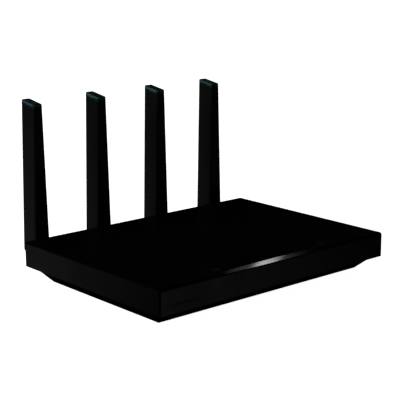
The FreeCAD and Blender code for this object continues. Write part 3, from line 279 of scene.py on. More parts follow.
tipLook = {
    "deep": colour(0.0020, 0.0105, 0.0130), "pale": colour(0.0050, 0.0200, 0.0240),
    # rim is the colour of a painted highlight along the top edges of the tips
    "rim": colour(0.070, 0.105, 0.120), "rimHighlightRadius": 2.0 * mm,
    "smooth": 0.10, "rough": 0.22,
    "shader": {"IOR": 1.5, "Specular IOR Level": 0.5, "Coat Weight": 0.35, "Coat Roughness": 0.12,
               "Transmission Weight": 0.12},
}


def circuitBoard(name, look):
    # solder mask over a grid of copper traces, with gold dots where layers join
    material, tree, shader = newMaterial(name, {"Specular IOR Level": 0.45})
    place = grainSpace(tree)
    along = addNode(tree, "ShaderNodeTexBrick",
                    {"Vector": place, "Scale": look["traceScale"], "Mortar Size": 0.035, "Brick Width": 1.7,
                     "Row Height": 0.31, "Color1": colour(0, 0, 0), "Color2": colour(0, 0, 0),
                     "Mortar": colour(1, 1, 1)})
    across = addNode(tree, "ShaderNodeTexBrick",
                     {"Vector": grainSpace(tree, turn=(0, 0, math.pi / 2)), "Scale": look["busScale"],
                      "Mortar Size": 0.06, "Brick Width": 5.0, "Row Height": 0.4, "Color1": colour(0, 0, 0),
                      "Color2": colour(0, 0, 0), "Mortar": colour(1, 1, 1)})
    areas = noise(tree, place, 26, 1)
    here = remap(tree, areas, 0.48, 0.50, 0, 1)
    traces = maths(tree, "ADD", maths(tree, "MULTIPLY", along.outputs["Color"], here),
                   maths(tree, "MULTIPLY", across.outputs["Color"], maths(tree, "SUBTRACT", 1.0, here)))
    cells = addNode(tree, "ShaderNodeTexVoronoi",
                    {"Vector": place, "Scale": look["viaScale"], "Randomness": 0.7}, distance="EUCLIDEAN")
    vias = remap(tree, cells.outputs["Distance"], 0.10, 0.13, 1, 0)
    drift = remap(tree, noise(tree, place, 40, 2), 0.35, 0.65, 0, 1)
    mask = blendColour(tree, drift, look["mask"], look["maskPaler"])
    traced = blendColour(tree, traces, mask, look["trace"])
    tree.links.new(blendColour(tree, vias, traced, look["via"]), shader.inputs["Base Color"])
    tree.links.new(remap(tree, vias, 0, 1, 0, 0.9), shader.inputs["Metallic"])
    tree.links.new(remap(tree, noise(tree, place, 500, 3), 0.3, 0.7, look["smooth"], look["rough"]),
                   shader.inputs["Roughness"])
    bump(tree, shader, maths(tree, "ADD", traces, vias), 0.3, 0.00003)
    return material


def clearTip(name, look):
    # dark teal with slow paler patches, and a slate rim round the top that is a painted highlight
    material, tree, shader = newMaterial(name, look["shader"])
    place = grainSpace(tree)
    depth = remap(tree, noise(tree, grainSpace(tree, (1, 1, 0.4)), 160, 2), 0.3, 0.7, 0, 1)
    body = blendColour(tree, depth, look["deep"], look["pale"])
    # the painted rim highlight goes where the rounded normal leans further up the blade than the flat one
    soft = addNode(tree, "ShaderNodeBevel", {"Radius": look["rimHighlightRadius"]}, samples=6)
    lean = addNode(tree, "ShaderNodeVectorMath", {0: soft.outputs["Normal"]}, operation="SUBTRACT")
    tree.links.new(addNode(tree, "ShaderNodeNewGeometry").outputs["Normal"], lean.inputs[1])
    turned = addNode(tree, "ShaderNodeVectorTransform", {"Vector": lean.outputs["Vector"]},
                     vector_type="NORMAL", convert_from="WORLD", convert_to="OBJECT")
    upward = addNode(tree, "ShaderNodeSeparateXYZ", {"Vector": turned.outputs["Vector"]}).outputs["Z"]
    # mask of the painted highlight on the upper edges
    rim = remap(tree, upward, 0.3, 0.95, 0, 1)
    tree.links.new(blendColour(tree, rim, body, look["rim"]), shader.inputs["Base Color"])
    tree.links.new(remap(tree, noise(tree, place, 420, 3), 0.3, 0.7, look["smooth"], look["rough"]),
                   shader.inputs["Roughness"])
    bump(tree, shader, noise(tree, place, 900, 1), 0.05, 0.00003)
    return material


finishes = {
    "case_plastic": mouldedPlastic("caseBlack", caseLook),
    "badge": mouldedPlastic("badgeGrey", badgeLook),
    "indicator_window": mouldedPlastic("smokedWindow", windowLook),
    "light_guide": mouldedPlastic("milkyGuide", guideLook),
    "circuit_board": circuitBoard("solderMask", boardLook),
    "rubber_feet": mouldedPlastic("footRubber", rubberLook),
    "steel_hardware": workedMetal("hardwareSteel", steelLook),
    "shield_metal": workedMetal("tinnedShield", shieldLook),
    "heat_sink": workedMetal("sinkAluminium", sinkLook),
    "socket_plastic": mouldedPlastic("socketBlack", socketLook),
    "wide_socket_plastic": mouldedPlastic("socketBlue", wideSocketLook),
    "usb_tongue_plastic": mouldedPlastic("tongueWhite", tongueLook),
    "control_plastic": mouldedPlastic("buttonBlack", controlLook),
    "antenna_plastic": mouldedPlastic("antennaBlack", antennaLook),
    "knuckle_plastic": mouldedPlastic("knuckleBlack", knuckleLook),
    "tip_lens": clearTip("tipTeal", tipLook),
    "lead_jacket": mouldedPlastic("leadJacket", jacketLook),
}
contactGold = workedMetal("contactGold", goldLook)
packageBlack = mouldedPlastic("packageBlack", packageLook)

for node, piece in nodes.items():
    piece.data.materials.clear()
    piece.data.materials.append(finishes[slotOfNode[node]])
print("finishes:", len(finishes))


# surfaces as whole arrays: a shape is (points, faces), faces is a list of index rows

def ringFaces(rings, sides, closedAlong=False):
    # quads between each ring and the next, all the way round
    last = rings if closedAlong else rings - 1
    ring, side = np.meshgrid(np.arange(last), np.arange(sides), indexing="ij")
    here, there = ring * sides, ((ring + 1) % rings) * sides
    beside = (side + 1) % sides
    return np.stack([here + side, here + beside, there + beside, there + side], -1).reshape(-1, 4)


def roundedShell(halfLong, halfShort, profile, power=2.0, sides=32):
    # each ring is a superellipse |x/a|^n + |y/b|^n = 1, where a and b are the half sizes less the
    # profile's inset, at the profile's height; the first and last heights are closed by a fan
    inset, height = np.array(profile, float).T
    angle = np.linspace(0, 2 * np.pi, sides, endpoint=False)
    outline = np.stack([np.cos(angle), np.sin(angle)])
    outline = np.sign(outline) * np.abs(outline) ** (2 / power)
    x = (halfLong - inset)[:, None] * outline[0]
    y = (halfShort - inset)[:, None] * outline[1]
    z = np.broadcast_to(height[:, None], x.shape)
    rings = np.stack([x, y, z], -1).reshape(-1, 3)
    ends = np.array([[0, 0, height[0]], [0, 0, height[-1]]])
    count = len(rings)
    side = np.arange(sides)
    beside = (side + 1) % sides
    bottom = np.stack([np.full(sides, count), beside, side], -1)
    top = np.stack([np.full(sides, count + 1), side + count - sides, beside + count - sides], -1)
    faces = ringFaces(len(inset), sides).tolist() + bottom.tolist() + top.tolist()
    return np.concatenate([rings, ends]), faces


def bentStrip(path, width, thickness):
    # a rectangle carried along a bent path in the YZ plane, half the thickness each side of it
    path = np.array(path, float)
    along = np.gradient(path, axis=0)
    along /= np.linalg.norm(along, axis=1)[:, None]
    out = np.stack([-along[:, 1], along[:, 0]], -1) * thickness / 2
    across = np.array([-1, 1, 1, -1]) * width / 2
    sign = np.array([1, 1, -1, -1])
    yz = path[:, None, :] + sign[None, :, None] * out[:, None, :]
    x = np.broadcast_to(across, yz.shape[:2])
    points = np.concatenate([x[..., None], yz], -1).reshape(-1, 3)
    last = len(points)
    faces = ringFaces(len(path), 4).tolist() + [[3, 2, 1, 0], [last - 4, last - 3, last - 2, last - 1]]
    return points, faces


def openingFrame(halfWide, halfHigh, corner, profile, steps=6):
    # a closed profile (outward, height) carried round a rounded rectangle
    quarter = np.linspace(0, np.pi / 2, steps)
    angle = (quarter[None, :] + np.arange(4)[:, None] * np.pi / 2).ravel()
    signs = np.repeat(np.array([[1, 1], [-1, 1], [-1, -1], [1, -1]]), steps, axis=0)
    heart = signs * np.array([halfWide - corner, halfHigh - corner])
    outward, height = np.array(profile, float).T
    reach = corner + outward
    x = heart[:, None, 0] + reach[None, :] * np.cos(angle)[:, None]
    y = heart[:, None, 1] + reach[None, :] * np.sin(angle)[:, None]
    z = np.broadcast_to(height, x.shape)
    return np.stack([x, y, z], -1).reshape(-1, 3), ringFaces(len(angle), len(outward), True).tolist()


def facing(shape, axis):
    # turn the shape's own z to face along X, Y or Z
    points, faces = shape
    return points[:, {"x": [2, 0, 1], "y": [0, 2, 1], "z": [0, 1, 2]}[axis]], faces


def copiesAt(shape, places):
    points, faces = shape
    places = np.array(places, float).reshape(-1, 3)
    moved = (points[None] + places[:, None]).reshape(-1, 3)
    step = len(points)
    return moved, [[index + step * copy for index in face] for copy in range(len(places)) for face in faces]


def together(shapes):
    points, faces, start = [], [], 0
    for some, theirs in shapes:
        points.append(some)
        faces += [[index + start for index in face] for face in theirs]
        start += len(some)
    return np.concatenate(points), faces


def makePiece(name, shape, material, body, sharp=38):
    points, faces = shape
    mesh = bpy.data.meshes.new(name)
    mesh.from_pydata(points.tolist(), [], faces)
    fill = bmesh.new()
    fill.from_mesh(mesh)
    bmesh.ops.recalc_face_normals(fill, faces=fill.faces[:])
    fill.to_mesh(mesh)
    fill.free()
    mesh.polygons.foreach_set("use_smooth", np.ones(len(mesh.polygons), bool))
    mesh.set_sharp_from_angle(angle=math.radians(sharp))
    mesh.materials.append(material)
    piece = bpy.data.objects.new(name, mesh)
    bpy.context.scene.collection.objects.link(piece)
    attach(piece, body)
    return piece


def domeProfile(base, rise, shoulder, steps=5):
    # a wall from base up to rise whose top edge is a quarter round of radius shoulder
    turn = np.linspace(0, np.pi / 2, steps)
    inset = shoulder * (1 - np.cos(turn))
    height = rise - shoulder + shoulder * np.sin(turn)
    return [(0, base)] + list(zip(inset, height))


# sockets: spring contacts, status lights, raised frames

panelFace = corners("rear_panel")[1][1]
portBlocks = {"local_port_block": 4, "local_port_pair": 2, "wide_port": 1}
portLook = {
    "pitch": 13.97 * mm, "contactPitch": 1.02 * mm, "contactWidth": 0.46 * mm, "contactThick": 0.22 * mm,
    "mouthLow": 1.75 * mm, "lightHalfWide": 1.15 * mm, "lightHalfHigh": 0.62 * mm, "lightUp": 12.4 * mm,
    "lightAcross": 4.75 * mm, "lightProud": 0.18 * mm, "lightDeep": 0.6 * mm, "lightEdge": 0.16 * mm,
    "frameProud": 0.55 * mm, "frameWide": 1.1 * mm, "frameGap": 0.1 * mm, "frameCorner": 0.8 * mm,
    "contacts": 8, "springFront": 3.6 * mm, "springLong": 8.6 * mm, "springLift": 0.4 * mm,
    "springBow": 4.3 * mm,
}


def socketPlaces():
    places = []
    for node, count in portBlocks.items():
        centre = middle(node)
        low = corners(node)[0][2]
        steps = np.arange(count) - (count - 1) / 2
        places += [(centre[0] + step * portLook["pitch"], panelFace, low) for step in steps]
    return np.array(places)


sockets = socketPlaces()
# each spring rises into the mouth as sin(2.2 s)^1.3 along its length s
reach = np.linspace(0, 1, 8)
springPath = np.stack([-portLook["springFront"] - portLook["springLong"] * reach,
                       portLook["mouthLow"] + portLook["springLift"]
                       + portLook["springBow"] * np.sin(reach * 2.2) ** 1.3], -1)
spring = bentStrip(springPath, portLook["contactWidth"], portLook["contactThick"])
fingers = [(portLook["contactPitch"] * (finger - (portLook["contacts"] - 1) / 2), 0, 0)
           for finger in range(portLook["contacts"])]
contacts = copiesAt(copiesAt(spring, fingers), sockets)
makePiece("portContacts", contacts, contactGold, "case")

lightShape = facing(roundedShell(portLook["lightHalfWide"], portLook["lightHalfHigh"],
                                 domeProfile(-portLook["lightDeep"], portLook["lightProud"],
                                             portLook["lightEdge"]), 6, 24), "y")
lightPlaces = [socket + np.array([side * portLook["lightAcross"], 0, portLook["lightUp"]])
               for socket in sockets for side in (-1, 1)]
makePiece("portLights", copiesAt(lightShape, lightPlaces), finishes["light_guide"], "case")


def raisedFrame(node):
    # its section rises to a flat top and falls to the panel on both sides
    low, high = corners(node)
    extra = portLook["frameGap"]
    half = (high - low) / 2
    wide, proud = portLook["frameWide"], portLook["frameProud"]
    profile = [(extra, 0), (extra, proud * 0.6), (extra + 0.25 * wide, proud), (extra + 0.7 * wide, proud),
               (extra + wide, proud * 0.45), (extra + wide, 0)]
    shape = facing(openingFrame(half[0], half[2], portLook["frameCorner"], profile), "y")
    centre = middle(node)
    return copiesAt(shape, [(centre[0], panelFace, centre[2])])


frames = together([raisedFrame(node) for node in list(portBlocks) + ["power_inlet"]])
makePiece("socketFrames", frames, finishes["case_plastic"], "case")

usbLook = {
    "wide": 10.4 * mm, "back": -10.5 * mm, "front": -1.9 * mm,
    "fingerWidth": 1.0 * mm, "fingerThick": 0.12 * mm,
    "across": (-3.5 * mm, -1.2 * mm, 1.2 * mm, 3.5 * mm), "below": 0.06 * mm,
    "bow": (0, 0, 0, 0.05 * mm, 0.12 * mm, 0.1 * mm, 0.02 * mm),
}
usbLow, usbHigh = corners("usb_tongues")
usbPath = np.stack([np.linspace(usbLook["back"], usbLook["front"], len(usbLook["bow"])),
                    np.array(usbLook["bow"])], -1)
usbFinger = bentStrip(usbPath, usbLook["fingerWidth"], usbLook["fingerThick"])
usbFingers = [(across, 0, 0) for across in usbLook["across"]]
usbPlaces = [(centre, panelFace, usbLow[2] - usbLook["below"])
             for centre in (usbLow[0] + usbLook["wide"] / 2, usbHigh[0] - usbLook["wide"] / 2)]
makePiece("usbContacts", copiesAt(copiesAt(usbFinger, usbFingers), usbPlaces), contactGold,
          "case")
print("sockets dressed:", len(sockets))


# buttons with a turned, dished cap

buttonLook = {
    "edge": 0.5 * mm, "dish": 0.35 * mm, "rim": 0.15 * mm, "sides": 48, "stemRadius": 1.6 * mm,
    "collarTall": 1.0 * mm,
    "topCapRadius": 4.0 * mm, "topCollarRadius": 4.98 * mm, "topCollarDown": 4.4 * mm,
    "powerCapRadius": 4.6 * mm, "powerCollarRadius": 5.58 * mm, "powerCollarUp": 6.0 * mm,
}


def dishedButton(node, axis, capRadius, collarRadius, collarAt):
    # the profile runs up the stem, out over the collar, up the cap, round its edge and into a dish
    # whose depth falls as 1 - (r/R)^2
    low, high = corners(node)
    line = "xyz".index(axis)
    top = high[line] - low[line]
    edge, dish, stemRadius = buttonLook["edge"], buttonLook["dish"], buttonLook["stemRadius"]
    collarEnd = collarAt + buttonLook["collarTall"]
    turn = np.linspace(0, np.pi / 2, 5)
    radius = [stemRadius, stemRadius, collarRadius, collarRadius, capRadius]
    height = [0, collarAt, collarAt, collarEnd, collarEnd]
    radius += list(capRadius - edge * (1 - np.cos(turn)))
    height += list(top - edge + edge * np.sin(turn))
    ring = np.linspace(capRadius - edge - buttonLook["rim"], capRadius * 0.12, 6)
    radius += list(ring)
    height += list(top - dish * (1 - (ring / ring[0]) ** 2))
    profile = list(zip(capRadius - np.array(radius), height))
    shape = facing(roundedShell(capRadius, capRadius, profile, 2, buttonLook["sides"]), axis)
    centre = middle(node)
    centre[line] = low[line]
    return copiesAt(shape, [centre])


for node in ("pairing_button", "radio_button"):
    low, high = corners(node)
    collar = high[2] - low[2] - buttonLook["topCollarDown"]
    shape = dishedButton(node, "z", buttonLook["topCapRadius"], buttonLook["topCollarRadius"], collar)
    cap = makePiece(node + "_cap", shape, finishes["control_plastic"], node)
    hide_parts(node)

shape = dishedButton("power_button", "y", buttonLook["powerCapRadius"], buttonLook["powerCollarRadius"],
                     buttonLook["powerCollarUp"])
cap = makePiece("power_button_cap", shape, finishes["control_plastic"], "power_button")
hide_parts("power_button")

knobLow, knobHigh = corners("light_switch_knob")
knobCentre = middle("light_switch_knob")
knobLook = {
    "plateLong": 2.7 * mm, "plateShort": 2.3 * mm, "plateThick": 1.0 * mm, "plateEdge": 0.1 * mm,
    "nibLong": 1.2 * mm, "nibShort": 1.3 * mm, "nibFrom": 0.5 * mm, "nibEdge": 0.3 * mm,
    "ribLong": 0.12 * mm, "ribShort": 1.0 * mm, "ribTall": 0.3 * mm, "ribEdge": 0.1 * mm,
    "ribAcross": (-0.55 * mm, 0, 0.55 * mm),
}
plateEdge, plateThick = knobLook["plateEdge"], knobLook["plateThick"]
plateProfile = [(plateEdge, 0), (0, plateEdge), (0, plateThick - plateEdge), (plateEdge, plateThick)]
plate = roundedShell(knobLook["plateLong"], knobLook["plateShort"], plateProfile, 8, 24)
nibRise = knobHigh[1] - knobLow[1]
nib = roundedShell(knobLook["nibLong"], knobLook["nibShort"],
                   domeProfile(knobLook["nibFrom"], nibRise, knobLook["nibEdge"]), 8, 24)
rib = roundedShell(knobLook["ribLong"], knobLook["ribShort"],
                   domeProfile(nibRise - knobLook["ribTall"], nibRise, knobLook["ribEdge"], 3), 6, 16)
ribs = copiesAt(rib, [(across, 0, 0) for across in knobLook["ribAcross"]])
knobShape = facing(together([plate, nib, ribs]), "y")
knob = makePiece("light_switch_grip", copiesAt(knobShape, [(knobCentre[0], knobLow[1], knobCentre[2])]),
                 finishes["control_plastic"], "light_switch_knob")
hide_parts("light_switch_knob")
print("controls dressed")


# feet with grip rings

footLook = {"radius": 8.0 * mm, "grooves": 3, "depth": 0.45 * mm, "edge": 0.7 * mm, "chamfer": 0.2 * mm}


def footShape():
    # turned pad; its underside height is depth * sin^2 of the radius, so it reads as round ridges
    rise = corners("feet")[1][2]
    full, chamfer = footLook["radius"], footLook["chamfer"]
    ring = np.linspace(0.08, 1, 37) * (full - footLook["edge"])
    wave = footLook["depth"] * np.sin(np.pi * footLook["grooves"] * ring / ring[-1]) ** 2
    turn = np.linspace(0, np.pi / 2, 6)[1:]
    edge = footLook["edge"]
    radius = np.concatenate([ring, ring[-1] + edge * np.sin(turn), [full, full - chamfer]])
    height = np.concatenate([wave, edge * (1 - np.cos(turn)), [rise - chamfer, rise]])
    return roundedShell(full, full, list(zip(full - radius, height)), 2, 56)


footLow, footHigh = corners("feet")
footPlaces = [(x, y, 0) for x in (footLow[0] + footLook["radius"], footHigh[0] - footLook["radius"])
              for y in (footLow[1] + footLook["radius"], footHigh[1] - footLook["radius"])]
feet = makePiece("gripFeet", copiesAt(footShape(), footPlaces), finishes["rubber_feet"], "case")
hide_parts("feet")


# indicator row: windows in the lens, light chips on the little board, a crowned badge

indicatorLook = {
    "count": 9, "pitch": 12.0 * mm, "halfLong": 1.6 * mm, "halfShort": 0.5 * mm,
    "deep": 0.5 * mm, "proud": 0.06 * mm,
    "chipLong": 1.0 * mm, "chipShort": 0.6 * mm, "chipTall": 0.6 * mm, "chipEdge": 0.15 * mm,
}
lensTop = corners("indicator_lens")[1][2]
rowY = middle("indicator_lens")[1]
rowX = (np.arange(indicatorLook["count"]) - (indicatorLook["count"] - 1) / 2) * indicatorLook["pitch"]
windowShape = roundedShell(indicatorLook["halfLong"], indicatorLook["halfShort"],
                           domeProfile(-indicatorLook["deep"], indicatorLook["proud"],
                                       indicatorLook["proud"], 3), 2.6, 28)
makePiece("indicatorWindows", copiesAt(windowShape, [(x, rowY, lensTop) for x in rowX]),
          finishes["indicator_window"], "case")
boardTop = corners("indicator_board")[1][2]
chipShape = roundedShell(indicatorLook["chipLong"], indicatorLook["chipShort"],
                         domeProfile(0, indicatorLook["chipTall"], indicatorLook["chipEdge"], 3), 8, 16)
makePiece("indicatorChips", copiesAt(chipShape, [(x, rowY, boardTop) for x in rowX]),
          finishes["light_guide"], "case")

# the badge's face rises to its middle line, its height falling as (1 - s)^2 towards the sides
badgeParts = {"crownWide": 0.9, "crownDeep": 0.16 * mm}
badgeLow, badgeHigh = corners("badge_bar")
half = (badgeHigh - badgeLow) / 2
crown = np.linspace(0, 1, 7)
badgeProfile = [(0, -half[1] * 2)]
badgeProfile += list(zip(half[2] * badgeParts["crownWide"] * crown,
                         -badgeParts["crownDeep"] * (1 - crown) ** 2))
badgeShape = roundedShell(half[0], half[2], badgeProfile, 12, 64)
points, faces = facing(badgeShape, "y")
points = points * np.array([1, -1, 1])
centre = middle("badge_bar")
badge = makePiece("crownedBadge", copiesAt((points, faces), [(centre[0], badgeLow[1], centre[2])]),
                  finishes["badge"], "case")
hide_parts("badge_bar")
print("indicators and badge dressed")


# parts on the main board

boardTop = corners("main_board")[1][2]
chips = [
    # x, y, half sizes and height, in millimetres
    (-48, -34, 6.0, 7.0, 1.2), (-48, -8, 6.0, 7.0, 1.2), (50, 16, 7.0, 5.0, 1.4), (-100, 30, 5.0, 5.0, 1.1),
    (20, 22, 8.0, 5.5, 1.5), (-20, 22, 8.0, 5.5, 1.5), (92, 26, 7.5, 5.0, 1.5), (63.5, 42, 5.0, 5.0, 1.2),
    (-70, 40, 4.0, 4.0, 1.0), (-120, -60, 5.0, 5.0, 1.2), (30, -80, 4.5, 4.5, 1.0), (-30, -84, 6.0, 4.0, 1.2),
    (0, 56, 9.0, 6.0, 3.4), (-28, 56, 8.0, 6.0, 3.4), (28, 56, 8.0, 6.0, 3.4), (85, 56, 8.0, 6.0, 3.4),
]
cans = [
    # x, y, radius and height, in millimetres
    (-112, 58, 3.2, 7.0), (-104, 58, 3.2, 7.0), (-96, 52, 2.6, 6.0), (-128, 40, 4.0, 8.0),
    (-128, 28, 4.0, 8.0), (-60, 20, 2.6, 5.6), (-66, 26, 2.6, 5.6), (120, 40, 3.2, 7.0),
    (120, 30, 3.2, 7.0), (56, -70, 2.6, 5.6),
]
chokes = [
    # x, y, half size and height, in millimetres
    (-116, 44, 3.6, 3.2), (-108, 46, 3.6, 3.2), (-86, 30, 3.0, 2.8), (44, 34, 3.0, 2.8), (110, 20, 3.0, 2.8),
]
smallLook = {
    # in millimetres, apart from the counts
    "halfLong": 0.8, "halfShort": 0.45, "tall": 0.45, "edge": 0.1, "tries": 900, "most": 220,
    "low": (-126, -96), "high": (126, 66), "around": 2, "aroundChip": 2.5, "aroundPoint": 6.0, "grid": 4,
}
random = np.random.default_rng(11)


def chipBody(halfLong, halfShort, tall):
    # sides draft in above and below the middle line
    profile = [(0.25, 0.12), (0, 0.12 + tall * 0.45), (0, 0.12 + tall * 0.55), (0.22, tall), (0.6, tall)]
    return roundedShell(halfLong * mm, halfShort * mm, np.array(profile) * mm, 16, 32)


def chipLegs(halfLong, halfShort):
    # gull-wing legs along both long sides: out, down and out again
    path = np.array([(0, 0.7), (0.35, 0.7), (0.55, 0.1), (1.0, 0.08)]) * mm
    leg = bentStrip(path, 0.3 * mm, 0.12 * mm)
    steps = np.arange(-halfLong + 0.8, halfLong - 0.5, 0.9)
    far = copiesAt(leg, [(step * mm, (halfShort - 0.15) * mm, 0) for step in steps])
    near = copiesAt((leg[0] * np.array([1, -1, 1]), leg[1]),
                    [(step * mm, (0.15 - halfShort) * mm, 0) for step in steps])
    return together([far, near])


def canShape(radius, tall):
    # turned can: skirt, waist below the rolled edge, shallow top
    profile = [(0, 0.8), (0, tall * 0.2), (0.25, tall * 0.26), (0, tall * 0.32), (0, tall - 0.3), (0.3, tall),
               (0.7, tall), (0.8, tall - 0.12), (radius * 0.8, tall - 0.12)]
    return roundedShell(radius * mm, radius * mm, np.array(profile) * mm, 2, 24)


def canFoot(radius):
    # square base plate with its corners rounded
    profile = np.array([(0, 0), (0, 0.7), (0.2, 0.9), (0.5, 0.9)]) * mm
    return roundedShell((radius + 0.3) * mm, (radius + 0.3) * mm, profile, 7, 24)


def chokeShape(half, tall):
    # square block with a raised ring on top
    profile = np.array([(0.15, 0), (0, 0.15), (0, tall - 0.5), (0.35, tall - 0.1), (half * 0.35, tall - 0.1),
                        (half * 0.42, tall), (half * 0.8, tall)]) * mm
    return roundedShell(half * mm, half * mm, profile, 6, 28)


def onBoard(shape, x, y):
    return copiesAt(shape, [(x * mm, y * mm, boardTop)])


chipShapes = [onBoard(chipBody(a, b, tall), x, y) for x, y, a, b, tall in chips]
legShapes = [onBoard(chipLegs(a, b), x, y) for x, y, a, b, tall in chips]
makePiece("boardChips", together(chipShapes), packageBlack, "case")
makePiece("chipLegs", together(legShapes), finishes["steel_hardware"], "case")
makePiece("boardCans", together([onBoard(canShape(r, tall), x, y) for x, y, r, tall in cans]),
          finishes["shield_metal"], "case")
makePiece("canBases", together([onBoard(canFoot(r), x, y) for x, y, r, tall in cans]
                               + [onBoard(chokeShape(a, tall), x, y) for x, y, a, tall in chokes]),
          packageBlack, "case")
# small parts go on random spots that stay clear of everything listed in taken: x, y, distance
around = smallLook["around"]
spots = random.uniform(smallLook["low"], smallLook["high"], (smallLook["tries"], 2))
taken = [(x, y, max(a, b) + smallLook["aroundChip"]) for x, y, a, b, tall in chips]
taken += [(x, y, r + around) for x, y, r, tall in cans] + [(x, y, a + around) for x, y, a, tall in chokes]
for node in ("processor_shield", "radio_shields", "board_screws", "case_screws", "antenna_leads",
             "power_switch"):
    mesh = nodes[node].data
    found = np.empty(len(mesh.vertices) * 3)
    mesh.vertices.foreach_get("co", found)
    grid = smallLook["grid"]
    found = np.unique(np.round(found.reshape(-1, 3)[:, :2] / mm / grid), axis=0) * grid
    taken += [(x, y, smallLook["aroundPoint"]) for x, y in found]
taken = np.array(taken)
distance = np.linalg.norm(spots[:, None] - taken[None, :, :2], axis=2) - taken[:, 2]
shieldLow, shieldHigh = (edge[:2] / mm for edge in corners("processor_shield"))
underShield = np.all((spots > shieldLow - around) & (spots < shieldHigh + around), axis=1)
radioLow, radioHigh = (edge[:2] / mm for edge in corners("radio_shields"))
underRadio = ((np.abs(spots[:, 0]) > 57) & (spots[:, 1] > radioLow[1] - around)
              & (spots[:, 1] < radioHigh[1] + around))
free = spots[(distance.min(axis=1) > 0) & ~underShield & ~underRadio][:smallLook["most"]]
resistor = roundedShell(smallLook["halfLong"] * mm, smallLook["halfShort"] * mm,
                        domeProfile(0, smallLook["tall"] * mm, smallLook["edge"] * mm, 2), 8, 12)
makePiece("smallParts", copiesAt(resistor, [(x * mm, y * mm, boardTop) for x, y in free]),
          packageBlack, "case")
print("board dressed:", len(chips), "chips,", len(free), "small parts")


# antennas: domed pin caps in the cheeks, grip ribs round the knuckle, plugs on the leads

antennaParts = {
    "capRadius": 1.95 * mm, "capRise": 0.55 * mm, "capWide": 0.9, "capStart": 0.3,
    "ribs": 20, "ribRadius": 0.45 * mm, "ribRing": 9.85 * mm, "ribFrom": 0.35 * mm, "ribTo": 2.65 * mm,
    "ribEdge": 0.15 * mm, "flangeGap": 0.2 * mm, "plugRadius": 2.06 * mm, "plugIn": 2.0 * mm,
}
for antenna in antennas:
    low, high = corners(antenna + "_hinge_pin")
    centre = (low + high) / 2
    # the cap's height is its rise times the sine of a turn that grows as it closes in
    turn = np.linspace(0, 1, 6)
    start, radius = antennaParts["capStart"], antennaParts["capRadius"]
    domeHeight = antennaParts["capRise"] * np.sin(np.pi / 2 * (start + (1 - start) * turn))
    dome = [(0, 0)] + list(zip(radius * antennaParts["capWide"] * turn, domeHeight))
    capPoints, capFaces = facing(roundedShell(radius, radius, dome, 2, 28), "x")
    rightCap = copiesAt((capPoints, capFaces), [(high[0], centre[1], centre[2])])
    leftCap = copiesAt((capPoints * np.array([-1, 1, 1]), capFaces), [(low[0], centre[1], centre[2])])
    makePiece(antenna + "_pinCaps", together([rightCap, leftCap]), finishes["antenna_plastic"],
              antenna + "_blade")

    flangeAt = panelFace + antennaParts["flangeGap"]
    angle = np.arange(antennaParts["ribs"]) * 2 * np.pi / antennaParts["ribs"]
    ribFrom, ribTo, ribEdge = antennaParts["ribFrom"], antennaParts["ribTo"], antennaParts["ribEdge"]
    ribProfile = [(ribEdge, ribFrom), (0, ribFrom + ribEdge), (0, ribTo - ribEdge), (ribEdge, ribTo)]
    rib = facing(roundedShell(antennaParts["ribRadius"], antennaParts["ribRadius"], ribProfile, 2, 10), "y")
    ribPlaces = np.stack([centre[0] + antennaParts["ribRing"] * np.cos(angle), np.full(angle.shape, flangeAt),
                          centre[2] + antennaParts["ribRing"] * np.sin(angle)], -1)
    makePiece(antenna + "_gripRibs", copiesAt(rib, ribPlaces), finishes["knuckle_plastic"],
              antenna + "_swivel")

leadLow = corners("antenna_leads")[0]
plugProfile = np.array([(0, 0), (0, 1.5), (0.25, 1.85), (0.6, 1.85), (0.7, 1.6), (1.0, 1.6)]) * mm
plugShape = roundedShell(antennaParts["plugRadius"], antennaParts["plugRadius"], plugProfile, 2, 28)
plugPlaces = [(middle(antenna + "_knuckle")[0], leadLow[1] + antennaParts["plugIn"], leadLow[2])
              for antenna in antennas]
makePiece("leadPlugs", copiesAt(plugShape, plugPlaces), contactGold, "case")
print("antennas dressed:", len(antennas))


# floor, light and camera

scene = bpy.context.scene
scene.view_settings.view_transform = "Standard"

floorLook = {"span": 9.0, "height": -0.2 * mm, "pale": colour(0.85, 0.85, 0.85), "glow": 0.985}
floorMesh = bpy.data.meshes.new("studioFloor")
span, under = floorLook["span"], floorLook["height"]
floorMesh.from_pydata([(-span, -span, under), (span, -span, under), (span, span, under), (-span, span, under)],
                      [], [(0, 1, 2, 3)])
studioFloor = bpy.data.objects.new("studioFloor", floorMesh)
scene.collection.objects.link(studioFloor)
floorPaint = newMaterial("palePaper", {"Roughness": 0.9, "Specular IOR Level": 0.0,
                                       "Base Color": floorLook["pale"], "Emission Color": colour(1, 1, 1),
                                       "Emission Strength": floorLook["glow"]})[0]
floorMesh.materials.append(floorPaint)
studioFloor.visible_glossy = False
studioFloor.visible_diffuse = False

# the world is white to the camera, a faint fill to matt surfaces and black in gloss
world = bpy.data.worlds.new("studioWorld")
scene.world = world
world.use_nodes = True
tree = world.node_tree
tree.nodes.clear()
seen = addNode(tree, "ShaderNodeBackground", {"Color": colour(1, 1, 1), "Strength": 1.0})
fill = addNode(tree, "ShaderNodeBackground", {"Color": colour(1, 1, 1), "Strength": 0.05})
glossy = addNode(tree, "ShaderNodeBackground", {"Color": colour(1, 1, 1), "Strength": 0.0})
path = addNode(tree, "ShaderNodeLightPath")
inner = addNode(tree, "ShaderNodeMixShader",
                {0: path.outputs["Is Glossy Ray"], 1: fill.outputs[0], 2: glossy.outputs[0]})
outer = addNode(tree, "ShaderNodeMixShader",
                {0: path.outputs["Is Camera Ray"], 1: inner.outputs[0], 2: seen.outputs[0]})
addNode(tree, "ShaderNodeOutputWorld", {"Surface": outer.outputs[0]})

